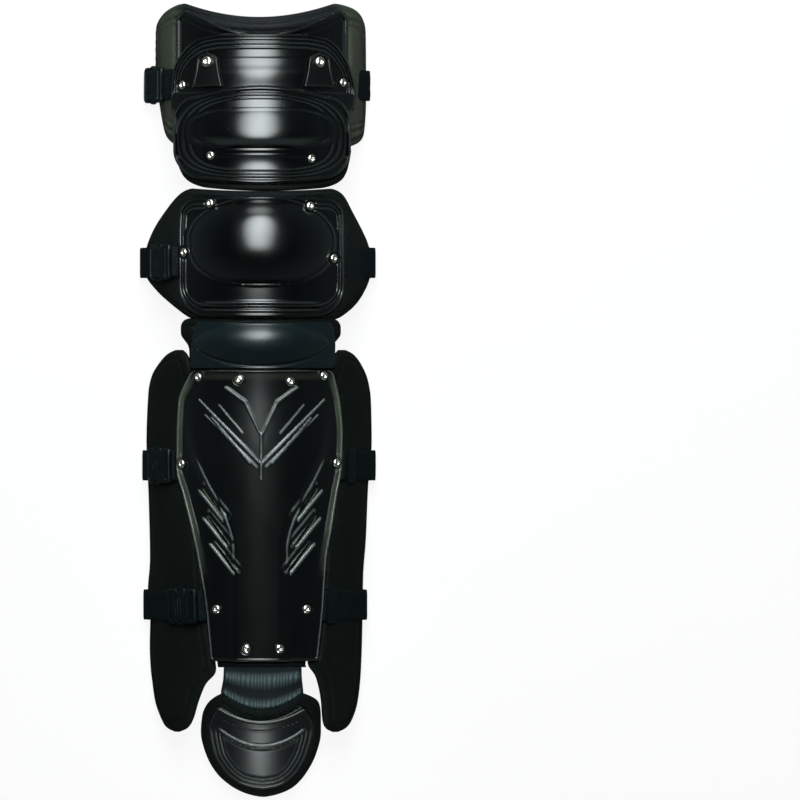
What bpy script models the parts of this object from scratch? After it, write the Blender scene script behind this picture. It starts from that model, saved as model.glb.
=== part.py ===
"""A catcher's leg guard, lying on its back with its front up.

Lengths are in metres. +Z is up, +Y points from the toe to the thigh, and +X is to the right of
someone who looks down on the guard's front. The origin is on the floor, under the middle of the guard.

Every pad and plate is a sheet laid on one arched form, the front of the padding round a leg. A place
on the form is given by x and by down, the distance from the thigh end. A sheet's outer face stands
off the form by its lift, and its wall goes inward from there.
"""

import math

import bmesh
import bpy
import numpy as np
from mathutils import Matrix, Vector

# Lengths of the padded sections, from the thigh to the toe
THIGH_PAD_LENGTH = 0.1225
UPPER_KNEE_PAD_LENGTH = 0.0325
SHIN_LINER_LENGTH = 0.290
GUSSET_LENGTH = 0.0205
TOE_PAD_LENGTH = 0.089
JOIN_GAP = 0.0008
WING_GAP = 0.0015

# Half widths of the sections, seen from the front
THIGH_HALF_WIDTH = 0.0890
UPPER_KNEE_HALF_WIDTH = 0.0750
KNEE_HALF_WIDTH = 0.0962
SHIN_HALF_WIDTH = 0.0953
GUSSET_HALF_WIDTH = 0.0340
TOE_HALF_WIDTH = 0.0512

# The arched form
CROWN = 0.100
FORM_EDGE = 0.007
FORM_MARGIN = 0.0018
TOE_CROWN = 0.0615
TOE_TIP_CROWN = 0.013
TOE_SIDE_DROP = 0.024

# Walls and the clearance between layers
PAD_THICKNESS = 0.009
TOE_PAD_THICKNESS = 0.007
GUSSET_THICKNESS = 0.004
SHELL_THICKNESS = 0.0025
LAYER_GAP = 0.0008
SEAT_GAP = 0.0003
PLATE_SHIFT = 0.003
SHARP_ANGLE = math.radians(40)

# Hard plates: a dome's middle is a share of its plate's length, or of the length of the cup it is on
THIGH_SHELL_LENGTH = 0.0860
THIGH_SHELL_MARGIN = 0.0168
THIGH_SHELL_INSET = 0.0060
ARCH_PLATE_LENGTH = 0.0610
ARCH_PLATE_OVERHANG = 0.0051
ARCH_PLATE_START = 0.0273
UPPER_CUP_LENGTH = 0.0721
UPPER_CUP_MARGIN = 0.0010
UPPER_CUP_START = 0.0782
UPPER_DOME_RISE = 0.0075
UPPER_DOME_HALF_LENGTH = 0.0147
UPPER_DOME_MARGIN = 0.0160
UPPER_DOME_MIDDLE = 0.40
LOWER_CUP_LENGTH = 0.1000
LOWER_CUP_MARGIN = 0.0265
LOWER_CUP_INSET = 0.0075
LOWER_CUP_FOOT_INSET = 0.0020
LOWER_DOME_RISE = 0.0160
LOWER_DOME_TOP_MARGIN = 0.0010
LOWER_DOME_MARGIN = 0.0100
LOWER_DOME_MIDDLE = 0.36
SHIN_CUP_LENGTH = 0.0390
SHIN_CUP_MARGIN = 0.0067
SHIN_CUP_INSET = 0.0012
SHIN_DOME_RISE = 0.0075
SHIN_DOME_HALF_LENGTH = 0.0165
SHIN_DOME_MARGIN = 0.0059
SHIN_DOME_MIDDLE = 0.43
SHIN_PLATE_LENGTH = 0.2440
SHIN_PLATE_MARGIN = 0.0252
LINER_INSET = 0.0029
SHIN_PLATE_GAP = 0.0015
SHIELD_RISE = 0.0030
SHIELD_FOOT_SHARE = 0.32
SHIELD_TOP_SHARE = 0.52
SHIELD_BORDER_SHARE = 0.16
TOE_SHELL_LENGTH = 0.0700
TOE_SHELL_MARGIN = 0.0067
TOE_SHELL_INSET = 0.0125

# How far down the middle of an end is bowed, beyond its corners
THIGH_TOP_BOW = 0.0130
THIGH_SHELL_TOP_BOW = 0.0205
UPPER_CUP_TOP_BOW = -0.0072
UPPER_CUP_FOOT_BOW = 0.0035
KNEE_BOW = 0.0030
TOE_TOP_BOW = 0.0134
TOE_SHELL_TOP_BOW = 0.0115
TAB_BOW = 0.0012
SMALL_BOW = 0.0010

# Relief and cuts in the shin plate
CHEVRON_RISE = 0.0016
CHEVRON_WIDTH = 0.0052
CHEVRON_MARGIN = 0.0211
CHEVRON_DEPTH = 0.0520
CHEVRON_START = 0.105
CHEVRON_MIDDLE = 0.036
VENT_LENGTH = 0.0330
VENT_WIDTH = 0.0036

# Wings beside the shin plate
WING_LENGTH = 0.3217
WING_START = 0.0246

# Rivets
RIVET_HEAD_RADIUS = 0.0038
RIVET_HEAD_HEIGHT = 0.0018
RIVET_SHANK_RADIUS = 0.0017
TAB_RIVET_HEAD_RADIUS = 0.0048
RIVET_GAP = 0.0004
RIVET_SIDES = 8
RIVET_HEAD_ANGLES = (38, 68)

# Hinge tabs between the arch plate and the upper cup
TAB_START = 0.0437
TAB_LENGTH = 0.0285
TAB_HALF_WIDTH = 0.0108
TAB_LEFT = -0.0425
TAB_RIGHT = 0.0518
TAB_THICKNESS = 0.0016

# Webbing and buckles
STRAP_WIDTH = 0.025
STRAP_THICKNESS = 0.0018
STRAP_STEPS = 32
EDGE_INSET = 0.0035
BUCKLE_WIDTH = 0.030
BUCKLE_THICKNESS = 0.0078
SOCKET_LENGTH = 0.0200
CLIP_BASE_LENGTH = 0.0110
BUCKLE_WALL = 0.0018
PRONG_WIDTH = 0.0046
PRONG_LENGTH = 0.0130
WINDOW_LENGTH = 0.0070
LOOP_LENGTH = 0.0095
LOOP_WALL = 0.0010
LOOP_SLACK = 0.0003

# How far the rows of a sheet's grid are drawn to its two ends, from 0 to 1
CROWDING = 0.6

# Half widths that follow the padding's: a plate's leaves a margin of padding beside it, and a dome's
# leaves a margin of its cup
THIGH_SHELL_HALF_WIDTH = THIGH_HALF_WIDTH - THIGH_SHELL_MARGIN
ARCH_PLATE_HALF_WIDTH = THIGH_SHELL_HALF_WIDTH + ARCH_PLATE_OVERHANG
UPPER_CUP_HALF_WIDTH = UPPER_KNEE_HALF_WIDTH - UPPER_CUP_MARGIN
UPPER_DOME_HALF_WIDTH = UPPER_CUP_HALF_WIDTH - UPPER_DOME_MARGIN
LOWER_CUP_HALF_WIDTH = KNEE_HALF_WIDTH - LOWER_CUP_MARGIN
LOWER_DOME_HALF_WIDTH = LOWER_CUP_HALF_WIDTH - LOWER_DOME_MARGIN
SHIN_PLATE_HALF_WIDTH = SHIN_HALF_WIDTH - SHIN_PLATE_MARGIN
LINER_HALF_WIDTH = SHIN_PLATE_HALF_WIDTH - LINER_INSET
SHIN_CUP_HALF_WIDTH = LINER_HALF_WIDTH - SHIN_CUP_MARGIN
SHIN_DOME_HALF_WIDTH = SHIN_CUP_HALF_WIDTH - SHIN_DOME_MARGIN
TOE_SHELL_HALF_WIDTH = TOE_HALF_WIDTH - TOE_SHELL_MARGIN
FORM_HALF_WIDTH = max(KNEE_HALF_WIDTH, SHIN_HALF_WIDTH) + FORM_MARGIN
CHEVRON_HALF_SPAN = SHIN_PLATE_HALF_WIDTH - CHEVRON_MARGIN

# Lengths that follow the lower cup's
KNEE_PAD_LENGTH = LOWER_CUP_INSET + LOWER_CUP_LENGTH + LOWER_CUP_FOOT_INSET
LOWER_DOME_HALF_LENGTH = LOWER_DOME_MIDDLE * LOWER_CUP_LENGTH - LOWER_DOME_TOP_MARGIN

# Where each section starts, measured down from the thigh end
UPPER_KNEE_START = THIGH_PAD_LENGTH + JOIN_GAP
KNEE_START = UPPER_KNEE_START + UPPER_KNEE_PAD_LENGTH + JOIN_GAP
LINER_START = KNEE_START + KNEE_PAD_LENGTH + JOIN_GAP
GUSSET_START = LINER_START + SHIN_LINER_LENGTH + JOIN_GAP
TOE_START = GUSSET_START + GUSSET_LENGTH + JOIN_GAP
GUARD_LENGTH = TOE_START + TOE_PAD_LENGTH
SHIN_PLATE_START = LINER_START + SHIN_CUP_INSET + SHIN_CUP_LENGTH + SHIN_PLATE_GAP
SHELL_LIFT = LAYER_GAP + SHELL_THICKNESS
ARCH_LIFT = 2 * SHELL_LIFT + SEAT_GAP

# The form along the guard: crown as a share of CROWN, spread as a share of FORM_HALF_WIDTH, and the
# power that squares its arch.
FORM_ROWS = (
    # at, crown, spread, power
    (0.00, 0.79, 0.930, 2.4),
    (0.10, 0.87, 0.930, 2.4),
    (0.20, 0.95, 0.945, 2.4),
    (0.32, 1.00, 1.000, 2.4),
    (0.42, 0.97, 1.000, 2.2),
    (0.50, 0.92, 0.990, 2.0),
    (0.62, 0.85, 0.990, 2.0),
    (0.75, 0.76, 0.980, 2.0),
    (0.88, 0.66, 0.970, 2.0),
    (1.00, 0.58, 0.970, 2.0),
)

# Outlines: at is a share of the piece's length, left and right are shares of its half width.
THIGH_PAD_ROWS = (
    (0.000, 0.820, 0.840),
    (0.030, 0.870, 0.930),
    (0.080, 0.930, 0.975),
    (0.160, 0.985, 1.010),
    (0.500, 0.985, 1.014),
    (0.670, 0.950, 1.014),
    (0.850, 0.905, 1.000),
    (0.940, 0.865, 0.980),
    (1.000, 0.810, 0.900),
)
UPPER_KNEE_PAD_ROWS = (
    (0.000, 0.950, 1.040),
    (0.500, 0.885, 1.000),
    (0.800, 0.800, 0.930),
    (1.000, 0.690, 0.830),
)
KNEE_PAD_ROWS = (
    (0.000, 0.620, 0.680),
    (0.050, 0.700, 0.745),
    (0.170, 0.820, 0.820),
    (0.310, 0.930, 0.905),
    (0.430, 0.990, 0.965),
    (0.530, 1.015, 0.985),
    (0.650, 1.000, 0.980),
    (0.770, 0.900, 0.930),
    (0.880, 0.760, 0.850),
    (1.000, 0.580, 0.690),
)
LINER_ROWS = (
    (0.000, 0.970, 1.030),
    (0.045, 0.970, 1.030),
    (0.085, 0.860, 0.920),
    (0.200, 0.760, 0.820),
    (1.000, 0.620, 0.700),
)
GUSSET_ROWS = (
    (0.000, 0.840, 1.060),
    (0.500, 0.860, 1.070),
    (1.000, 0.920, 1.100),
)
TOE_PAD_ROWS = (
    (0.000, 0.600, 0.730),
    (0.100, 0.830, 0.990),
    (0.220, 0.930, 1.020),
    (0.400, 0.960, 1.020),
    (0.600, 0.880, 0.940),
    (0.780, 0.710, 0.780),
    (0.920, 0.430, 0.560),
    (1.000, 0.140, 0.270),
)
TAB_ROWS = (
    (0.000, 0.550, 0.550),
    (0.120, 0.780, 0.780),
    (0.500, 0.920, 0.920),
    (1.000, 1.200, 1.200),
)
THIGH_SHELL_ROWS = (
    (0.000, 0.900, 1.000),
    (0.100, 0.960, 1.040),
    (0.400, 0.960, 1.040),
    (1.000, 0.920, 1.000),
)
ARCH_PLATE_ROWS = (
    (0.000, 0.460, 0.580),
    (0.050, 0.630, 0.750),
    (0.200, 0.800, 0.890),
    (0.450, 0.920, 1.000),
    (0.750, 0.950, 1.050),
    (1.000, 0.950, 1.030),
)
UPPER_CUP_ROWS = (
    (0.000, 0.780, 0.870),
    (0.100, 0.900, 0.980),
    (0.280, 0.960, 1.040),
    (0.580, 0.960, 1.050),
    (0.840, 0.920, 1.010),
    (1.000, 0.740, 0.860),
)
LOWER_CUP_ROWS = (
    (0.000, 0.860, 0.940),
    (0.080, 0.940, 1.010),
    (0.300, 0.960, 1.040),
    (0.700, 0.960, 1.040),
    (0.880, 0.900, 1.000),
    (0.960, 0.800, 0.900),
    (1.000, 0.680, 0.780),
)
SHIN_CUP_ROWS = (
    (0.000, 0.860, 1.020),
    (0.500, 0.920, 1.070),
    (1.000, 0.940, 1.060),
)
SHIN_PLATE_ROWS = (
    (0.000, 0.800, 0.895),
    (0.110, 0.960, 0.980),
    (0.220, 0.980, 1.012),
    (0.340, 0.985, 0.998),
    (0.430, 0.905, 0.945),
    (0.550, 0.800, 0.880),
    (0.650, 0.725, 0.820),
    (0.820, 0.630, 0.780),
    (1.000, 0.570, 0.715),
)
TOE_SHELL_ROWS = (
    (0.000, 0.780, 0.860),
    (0.250, 0.940, 1.030),
    (0.550, 0.870, 0.930),
    (0.800, 0.650, 0.730),
    (0.930, 0.420, 0.520),
    (1.000, 0.200, 0.330),
)
# A wing's shares are of SHIN_HALF_WIDTH, out to its outer and its inner edge.
LEFT_WING_ROWS = (
    (0.000, 0.735, 0.645),
    (0.035, 0.885, 0.590),
    (0.070, 0.957, 0.560),
    (0.110, 0.985, 0.535),
    (0.240, 1.003, 0.515),
    (0.390, 0.982, 0.485),
    (0.550, 0.970, 0.460),
    (0.630, 0.990, 0.443),
    (0.690, 0.967, 0.430),
    (0.780, 0.973, 0.395),
    (0.840, 0.963, 0.370),
    (0.870, 0.950, 0.460),
    (0.920, 0.925, 0.530),
    (0.965, 0.870, 0.575),
    (1.000, 0.750, 0.680),
)
RIGHT_WING_ROWS = (
    (0.000, 0.760, 0.690),
    (0.040, 0.910, 0.640),
    (0.080, 0.965, 0.610),
    (0.130, 0.990, 0.585),
    (0.240, 0.997, 0.560),
    (0.360, 0.965, 0.535),
    (0.500, 0.945, 0.510),
    (0.590, 0.922, 0.495),
    (0.760, 0.912, 0.460),
    (0.820, 0.905, 0.430),
    (0.850, 0.900, 0.500),
    (0.920, 0.875, 0.550),
    (0.965, 0.830, 0.560),
    (1.000, 0.700, 0.600),
)

# Rivets: plate, x as a share of the plate's half width, and its place as a share of the length
RIVET_ROWS = (
    # plate, across, at, name
    ("arch_plate", -0.82, 0.695, "arch_left"),
    ("arch_plate", 0.918, 0.655, "arch_right"),
    ("upper_knee_cup", -0.53, 0.71, "upper_cup_left"),
    ("upper_knee_cup", 0.605, 0.745, "upper_cup_right"),
    ("lower_knee_cup", -0.57, 0.052, "lower_cup_top_left"),
    ("lower_knee_cup", 0.63, 0.075, "lower_cup_top_right"),
    ("lower_knee_cup", -0.89, 0.46, "lower_cup_side_left"),
    ("lower_knee_cup", 0.91, 0.51, "lower_cup_side_right"),
    ("shin_plate", -0.71, 0.024, "shin_top_1"),
    ("shin_plate", -0.22, 0.033, "shin_top_2"),
    ("shin_plate", 0.39, 0.040, "shin_top_3"),
    ("shin_plate", 0.785, 0.020, "shin_top_4"),
    ("shin_plate", -0.917, 0.322, "shin_side_left"),
    ("shin_plate", 0.935, 0.319, "shin_side_right"),
    ("shin_plate", -0.497, 0.821, "shin_low_left"),
    ("shin_plate", 0.58, 0.821, "shin_low_right"),
    ("shin_plate", -0.14, 0.956, "shin_foot_left"),
    ("shin_plate", 0.26, 0.956, "shin_foot_right"),
    ("left_hinge_tab", 0.0, 0.25, "tab_left"),
    ("right_hinge_tab", 0.0, 0.25, "tab_right"),
)

# Vents on each side: place as a share of the shin plate's length, x as a share of its half width
VENT_ROWS = (
    # at, left, right
    (0.457, 0.530, 0.590),
    (0.552, 0.480, 0.570),
    (0.640, 0.400, 0.500),
)
VENT_LEAN = math.radians(51)

# Straps: the plate that each starts beside, the padding that it goes round, its place as a share of
# the guard's length, and the buckle's x as a share of that padding's half width
STRAP_ROWS = (
    # name, plate, padding, at, buckle
    ("thigh", "thigh_shell", "thigh_pad", 0.102, 0.985),
    ("knee", "lower_knee_cup", "lower_knee_pad", 0.326, 0.845),
    ("upper_shin", "shin_plate", "wing", 0.582, 0.868),
    ("lower_shin", "shin_plate", "wing", 0.758, 0.660),
)
# Straps that leave their plate through a loop, and the loop's x as a share of the wing's half width
LOOPED_STRAPS = {"upper_shin": 0.810, "lower_shin": 0.640}

# Colour, roughness and metallic value of each finish
FINISHES = {
    "hard_shell": ((0.006, 0.007, 0.008), 0.22, 0.0),
    "rubber_cup": ((0.012, 0.016, 0.020), 0.45, 0.0),
    "pad_cover": ((0.010, 0.011, 0.009), 0.60, 0.0),
    "webbing": ((0.006, 0.011, 0.012), 0.80, 0.0),
    "buckle_plastic": ((0.006, 0.009, 0.010), 0.40, 0.0),
    "rivet_metal": ((0.72, 0.69, 0.62), 0.28, 1.0),
}


def clear_scene():
    for thing in list(bpy.data.objects):
        bpy.data.objects.remove(thing, do_unlink=True)


def make_collection(name, hidden=False):
    made = bpy.data.collections.new(name)
    bpy.context.scene.collection.children.link(made)
    made.hide_render = hidden
    return made


def finish_of(name):
    """The named finish as a Principled material, made once."""
    made = bpy.data.materials.get(name)
    if made is None:
        colour, roughness, metallic = FINISHES[name]
        made = bpy.data.materials.new(name)
        made.use_nodes = True
        shader = made.node_tree.nodes["Principled BSDF"]
        shader.inputs["Base Color"].default_value = (*colour, 1.0)
        shader.inputs["Roughness"].default_value = roughness
        shader.inputs["Metallic"].default_value = metallic
        made.diffuse_color = (*colour, 1.0)
    return made


def read_rows(rows, at):
    """The columns after the first of a table, at the shares at, on a smooth curve with no overshoot."""
    table = np.array(rows, float)
    stops, values = table[:, 0], table[:, 1:]
    steps = np.diff(stops)[:, None]
    slopes = np.diff(values, axis=0) / steps
    tangents = np.zeros_like(values)
    before, after = slopes[:-1], slopes[1:]
    same_way = before * after > 0
    total = np.where(same_way, before + after, 1.0)
    tangents[1:-1] = np.where(same_way, 2 * before * after / total, 0.0)
    tangents[0], tangents[-1] = slopes[0], slopes[-1]
    at = np.clip(np.asarray(at, float), stops[0], stops[-1])
    piece = np.clip(np.searchsorted(stops, at, side="right") - 1, 0, len(stops) - 2)
    width = steps[piece, 0]
    t = ((at - stops[piece]) / width)[..., None]
    width = width[..., None]
    return (
        (1 + 2 * t) * (1 - t) ** 2 * values[piece]
        + t * (1 - t) ** 2 * width * tangents[piece]
        + t * t * (3 - 2 * t) * values[piece + 1]
        + t * t * (t - 1) * width * tangents[piece + 1]
    )


def ease(t):
    t = np.clip(t, 0, 1)
    return t * t * (3 - 2 * t)


def leg_height(x, down):
    """Height of the leg form: a crown that falls away to FORM_EDGE at the spread, by the arch's power."""
    crown, spread, power = np.moveaxis(read_rows(FORM_ROWS, down / GUARD_LENGTH), -1, 0)
    across = np.abs(x) / (spread * FORM_HALF_WIDTH)
    return FORM_EDGE + (crown * CROWN - FORM_EDGE) * (1 - across**power)


def toe_height(x, down):
    """Height of the toe form: it slopes to the tip along the toe and drops by a parabola across it."""
    along = (down - TOE_START) / TOE_PAD_LENGTH
    fall = along * (0.75 + 0.25 * along)
    crown = TOE_CROWN + (TOE_TIP_CROWN - TOE_CROWN) * fall
    return crown - TOE_SIDE_DROP * (x / TOE_HALF_WIDTH) ** 2


def gusset_height(x, down):
    """Height of the gusset: the leg form that turns into the toe form."""
    turn = ease((down - GUSSET_START) / (TOE_START - GUSSET_START))
    return leg_height(x, down) * (1 - turn) + toe_height(x, down) * turn


def normal_of(height, x, down, step=0.0005):
    """The unit normals of a height function, from central differences."""
    across = (height(x + step, down) - height(x - step, down)) / (2 * step)
    along = (height(x, down - step) - height(x, down + step)) / (2 * step)
    normal = np.stack([-across, -along, np.ones_like(across)], -1)
    return normal / np.linalg.norm(normal, axis=-1, keepdims=True)


def stand_off(height, x, down, lift):
    """Points that stand off the form by lift along its normal and lie at x and down in plan, and the
    normals there. The foot of each is found by stepping back along the normal until it settles."""
    x, down, lift = np.broadcast_arrays(*(np.asarray(a, float) for a in (x, down, lift)))
    foot_x, foot_down = x, down
    for _ in range(8):
        normal = normal_of(height, foot_x, foot_down)
        foot_x = x - lift * normal[..., 0]
        foot_down = down + lift * normal[..., 1]
    z = height(foot_x, foot_down) + lift * normal[..., 2]
    return np.stack([x, GUARD_LENGTH / 2 - down, z], -1), normal


def lifted(height, x, down, lift):
    return stand_off(height, x, down, lift)[0]


def dome(x, down, middle, half_width, half_length, rise):
    """A cap on an ellipse: the rise falls off with the square of the distance in half sizes."""
    reach = ((x - PLATE_SHIFT) / half_width) ** 2 + ((down - middle) / half_length) ** 2
    return rise * np.clip(1 - reach, 0, None)


def upper_cup_lift(x, down):
    """The cup clears the arch plate at its top and comes down to the padding under it."""
    high = ARCH_LIFT + SHELL_LIFT
    share = (down - UPPER_CUP_START) / UPPER_CUP_LENGTH
    base = high + (SHELL_LIFT - high) * ease((share - 0.35) / 0.5)
    middle = UPPER_CUP_START + UPPER_DOME_MIDDLE * UPPER_CUP_LENGTH
    return base + dome(x, down, middle, UPPER_DOME_HALF_WIDTH, UPPER_DOME_HALF_LENGTH, UPPER_DOME_RISE)


def lower_cup_lift(x, down):
    middle = KNEE_START + LOWER_CUP_INSET + LOWER_DOME_MIDDLE * LOWER_CUP_LENGTH
    return SHELL_LIFT + dome(
        x, down, middle, LOWER_DOME_HALF_WIDTH, LOWER_DOME_HALF_LENGTH, LOWER_DOME_RISE
    )


def shin_cup_lift(x, down):
    middle = LINER_START + SHIN_CUP_INSET + SHIN_DOME_MIDDLE * SHIN_CUP_LENGTH
    return SHELL_LIFT + dome(
        x, down, middle, SHIN_DOME_HALF_WIDTH, SHIN_DOME_HALF_LENGTH, SHIN_DOME_RISE
    )


def shin_plate_lift(x, down):
    """The plate's middle is a raised shield that narrows to a column down to the foot."""
    share = (down - SHIN_PLATE_START) / SHIN_PLATE_LENGTH
    half = SHIN_PLATE_HALF_WIDTH * (SHIELD_FOOT_SHARE + SHIELD_TOP_SHARE * ease((0.62 - share) / 0.42))
    inside = ease((half - np.abs(x)) / (SHIELD_BORDER_SHARE * SHIN_PLATE_HALF_WIDTH) + 0.5)
    return SHELL_LIFT + SHIELD_RISE * inside * ease((share - 0.02) / 0.12)


class Patch:
    """A sheet with a curved outline: u goes across it from -1 to 1, v down it from 0 to 1."""

    def __init__(
        self, rows, start, length, half_width, top_bow=0.0, foot_bow=0.0, height=leg_height, centre=0.0
    ):
        self.rows, self.start, self.length, self.half_width = rows, start, length, half_width
        self.top_bow, self.foot_bow, self.height, self.centre = top_bow, foot_bow, height, centre

    def sides(self, v):
        """The left and right x of the outline."""
        left, right = np.moveaxis(read_rows(self.rows, v), -1, 0)
        return self.centre - left * self.half_width, self.centre + right * self.half_width

    def plan(self, u, v):
        left, right = self.sides(v)
        x = (left + right) / 2 + (right - left) / 2 * u
        bow = (self.top_bow * (1 - v) + self.foot_bow * v) * (1 - u * u)
        return x, self.start + v * self.length + bow

    def point(self, u, v, lift):
        x, down = self.plan(u, v)
        return lifted(self.height, x, down, lift(x, down) if callable(lift) else lift)

    def edge(self, down, side):
        """The outline's x on one side, -1 or 1, at this distance down."""
        left, right = self.sides((np.asarray(down) - self.start) / self.length)
        return right if side > 0 else left


class Wing(Patch):
    """A patch between an outer and an inner edge on one side of the shin."""

    def __init__(self, rows, side):
        super().__init__(rows, LINER_START + WING_START, WING_LENGTH, SHIN_HALF_WIDTH)
        self.side = side

    def sides(self, v):
        outer, inner = np.moveaxis(read_rows(self.rows, v), -1, 0) * self.half_width
        return (-outer, -inner) if self.side < 0 else (inner, outer)


class Liner(Patch):
    """The padding behind the shin plate: below its top it lies between the two wings."""

    def sides(self, v):
        left, right = super().sides(v)
        share = (self.start + v * self.length - LEFT_WING.start) / WING_LENGTH
        beside = share > -WING_GAP / WING_LENGTH
        inner_left = LEFT_WING.sides(share)[1] + WING_GAP
        inner_right = RIGHT_WING.sides(share)[0] - WING_GAP
        left = np.where(beside, np.maximum(left, inner_left), left)
        return left, np.where(beside, np.minimum(right, inner_right), right)


LEFT_WING = Wing(LEFT_WING_ROWS, -1)
RIGHT_WING = Wing(RIGHT_WING_ROWS, 1)
PATCHES = {
    "thigh_pad": Patch(THIGH_PAD_ROWS, 0.0, THIGH_PAD_LENGTH, THIGH_HALF_WIDTH, THIGH_TOP_BOW),
    "upper_knee_pad": Patch(
        UPPER_KNEE_PAD_ROWS,
        UPPER_KNEE_START,
        UPPER_KNEE_PAD_LENGTH,
        UPPER_KNEE_HALF_WIDTH,
        foot_bow=KNEE_BOW,
    ),
    "lower_knee_pad": Patch(
        KNEE_PAD_ROWS, KNEE_START, KNEE_PAD_LENGTH, KNEE_HALF_WIDTH, KNEE_BOW, SMALL_BOW
    ),
    "shin_liner": Liner(
        LINER_ROWS, LINER_START, SHIN_LINER_LENGTH, LINER_HALF_WIDTH, SMALL_BOW
    ),
    "left_shin_wing": LEFT_WING,
    "right_shin_wing": RIGHT_WING,
    "ankle_gusset": Patch(
        GUSSET_ROWS, GUSSET_START, GUSSET_LENGTH, GUSSET_HALF_WIDTH, 0.0, TOE_TOP_BOW, gusset_height
    ),
    "toe_pad": Patch(
        TOE_PAD_ROWS, TOE_START, TOE_PAD_LENGTH, TOE_HALF_WIDTH, TOE_TOP_BOW, SMALL_BOW, toe_height
    ),
    "thigh_shell": Patch(
        THIGH_SHELL_ROWS,
        THIGH_SHELL_INSET,
        THIGH_SHELL_LENGTH,
        THIGH_SHELL_HALF_WIDTH,
        THIGH_SHELL_TOP_BOW,
    ),
    "arch_plate": Patch(
        ARCH_PLATE_ROWS, ARCH_PLATE_START, ARCH_PLATE_LENGTH, ARCH_PLATE_HALF_WIDTH
    ),
    "upper_knee_cup": Patch(
        UPPER_CUP_ROWS,
        UPPER_CUP_START,
        UPPER_CUP_LENGTH,
        UPPER_CUP_HALF_WIDTH,
        UPPER_CUP_TOP_BOW,
        UPPER_CUP_FOOT_BOW,
    ),
    "lower_knee_cup": Patch(
        LOWER_CUP_ROWS,
        KNEE_START + LOWER_CUP_INSET,
        LOWER_CUP_LENGTH,
        LOWER_CUP_HALF_WIDTH,
        foot_bow=SMALL_BOW,
    ),
    "shin_top_cup": Patch(
        SHIN_CUP_ROWS, LINER_START + SHIN_CUP_INSET, SHIN_CUP_LENGTH, SHIN_CUP_HALF_WIDTH, SMALL_BOW
    ),
    "shin_plate": Patch(
        SHIN_PLATE_ROWS, SHIN_PLATE_START, SHIN_PLATE_LENGTH, SHIN_PLATE_HALF_WIDTH
    ),
    "toe_shell": Patch(
        TOE_SHELL_ROWS,
        TOE_START + TOE_SHELL_INSET,
        TOE_SHELL_LENGTH,
        TOE_SHELL_HALF_WIDTH,
        TOE_SHELL_TOP_BOW,
        SMALL_BOW,
        toe_height,
    ),
}
for side_name, tab_centre in (("left", TAB_LEFT), ("right", TAB_RIGHT)):
    PATCHES[side_name + "_hinge_tab"] = Patch(
        TAB_ROWS, TAB_START, TAB_LENGTH, TAB_HALF_WIDTH, -TAB_BOW, 0.0, leg_height, tab_centre
    )
TAB_LIFT = ARCH_LIFT + LAYER_GAP + TAB_THICKNESS
LIFTS = {
    "left_hinge_tab": TAB_LIFT,
    "right_hinge_tab": TAB_LIFT,
    "thigh_shell": SHELL_LIFT,
    "arch_plate": ARCH_LIFT,
    "upper_knee_cup": upper_cup_lift,
    "lower_knee_cup": lower_cup_lift,
    "shin_top_cup": shin_cup_lift,
    "shin_plate": shin_plate_lift,
    "toe_shell": SHELL_LIFT,
}


# Columns and rows of each sheet's grid
PAD_GRIDS = {
    "thigh_pad": (14, 9),
    "upper_knee_pad": (12, 3),
    "lower_knee_pad": (14, 9),
    "shin_liner": (8, 14),
    "left_shin_wing": (4, 16),
    "right_shin_wing": (4, 16),
    "ankle_gusset": (8, 3),
    "toe_pad": (8, 9),
}
PAD_WALLS = {"ankle_gusset": GUSSET_THICKNESS, "toe_pad": TOE_PAD_THICKNESS}
SHELL_GRIDS = {
    "thigh_shell": (14, 6),
    "arch_plate": (14, 6),
    "left_hinge_tab": (2, 3),
    "right_hinge_tab": (2, 3),
    "upper_knee_cup": (14, 11),
    "lower_knee_cup": (14, 12),
    "shin_top_cup": (12, 6),
    "shin_plate": (12, 16),
    "toe_shell": (8, 8),
}


def link(name, mesh, finish, collection):
    made = bpy.data.objects.new(name, mesh)
    if finish:
        mesh.materials.append(finish_of(finish))
    collection.objects.link(made)
    return made


def crowded(v):
    """Shares of a length, closer together at both ends, where the outlines turn."""
    return v - CROWDING * np.sin(2 * math.pi * v) / (2 * math.pi)


def grid_mesh(name, columns, rows, place):
    """A flat grid whose points are moved to place(u, v), with u from -1 to 1 and v from 0 to 1."""
    shape = bmesh.new()
    bmesh.ops.create_grid(shape, x_segments=columns, y_segments=rows, size=1.0)
    flat = np.array([vertex.co[:2] for vertex in shape.verts])
    placed = place(flat[:, 0], (1 - flat[:, 1]) / 2)
    for vertex, point in zip(shape.verts, placed):
        vertex.co = point
    mesh = bpy.data.meshes.new(name)
    shape.to_mesh(mesh)
    shape.free()
    mesh.shade_smooth()
    mesh.set_sharp_from_angle(angle=SHARP_ANGLE)
    return mesh


def add_sheet(name, columns, rows, place, thickness, finish, collection, side=-1.0):
    """A grid with a wall: side -1 puts the wall behind the grid, 0 on both sides of it."""
    made = link(name, grid_mesh(name, columns, rows, place), finish, collection)
    wall = made.modifiers.new("wall", "SOLIDIFY")
    wall.thickness = thickness
    wall.offset = side
    wall.use_even_offset = True
    return made


def bar_mesh(name, size, middle=(0, 0, 0)):
    """A box of this size with its middle at this point."""
    shape = bmesh.new()
    place = Matrix.Translation(middle) @ Matrix.Diagonal((*size, 1))
    bmesh.ops.create_cube(shape, size=1.0, matrix=place)
    mesh = bpy.data.meshes.new(name)
    shape.to_mesh(mesh)
    shape.free()
    return mesh


def cut(target, cutter, operation="DIFFERENCE"):
    change = target.modifiers.new(cutter.name, "BOOLEAN")
    change.operation = operation
    change.object = cutter
    change.solver = "EXACT"


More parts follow.
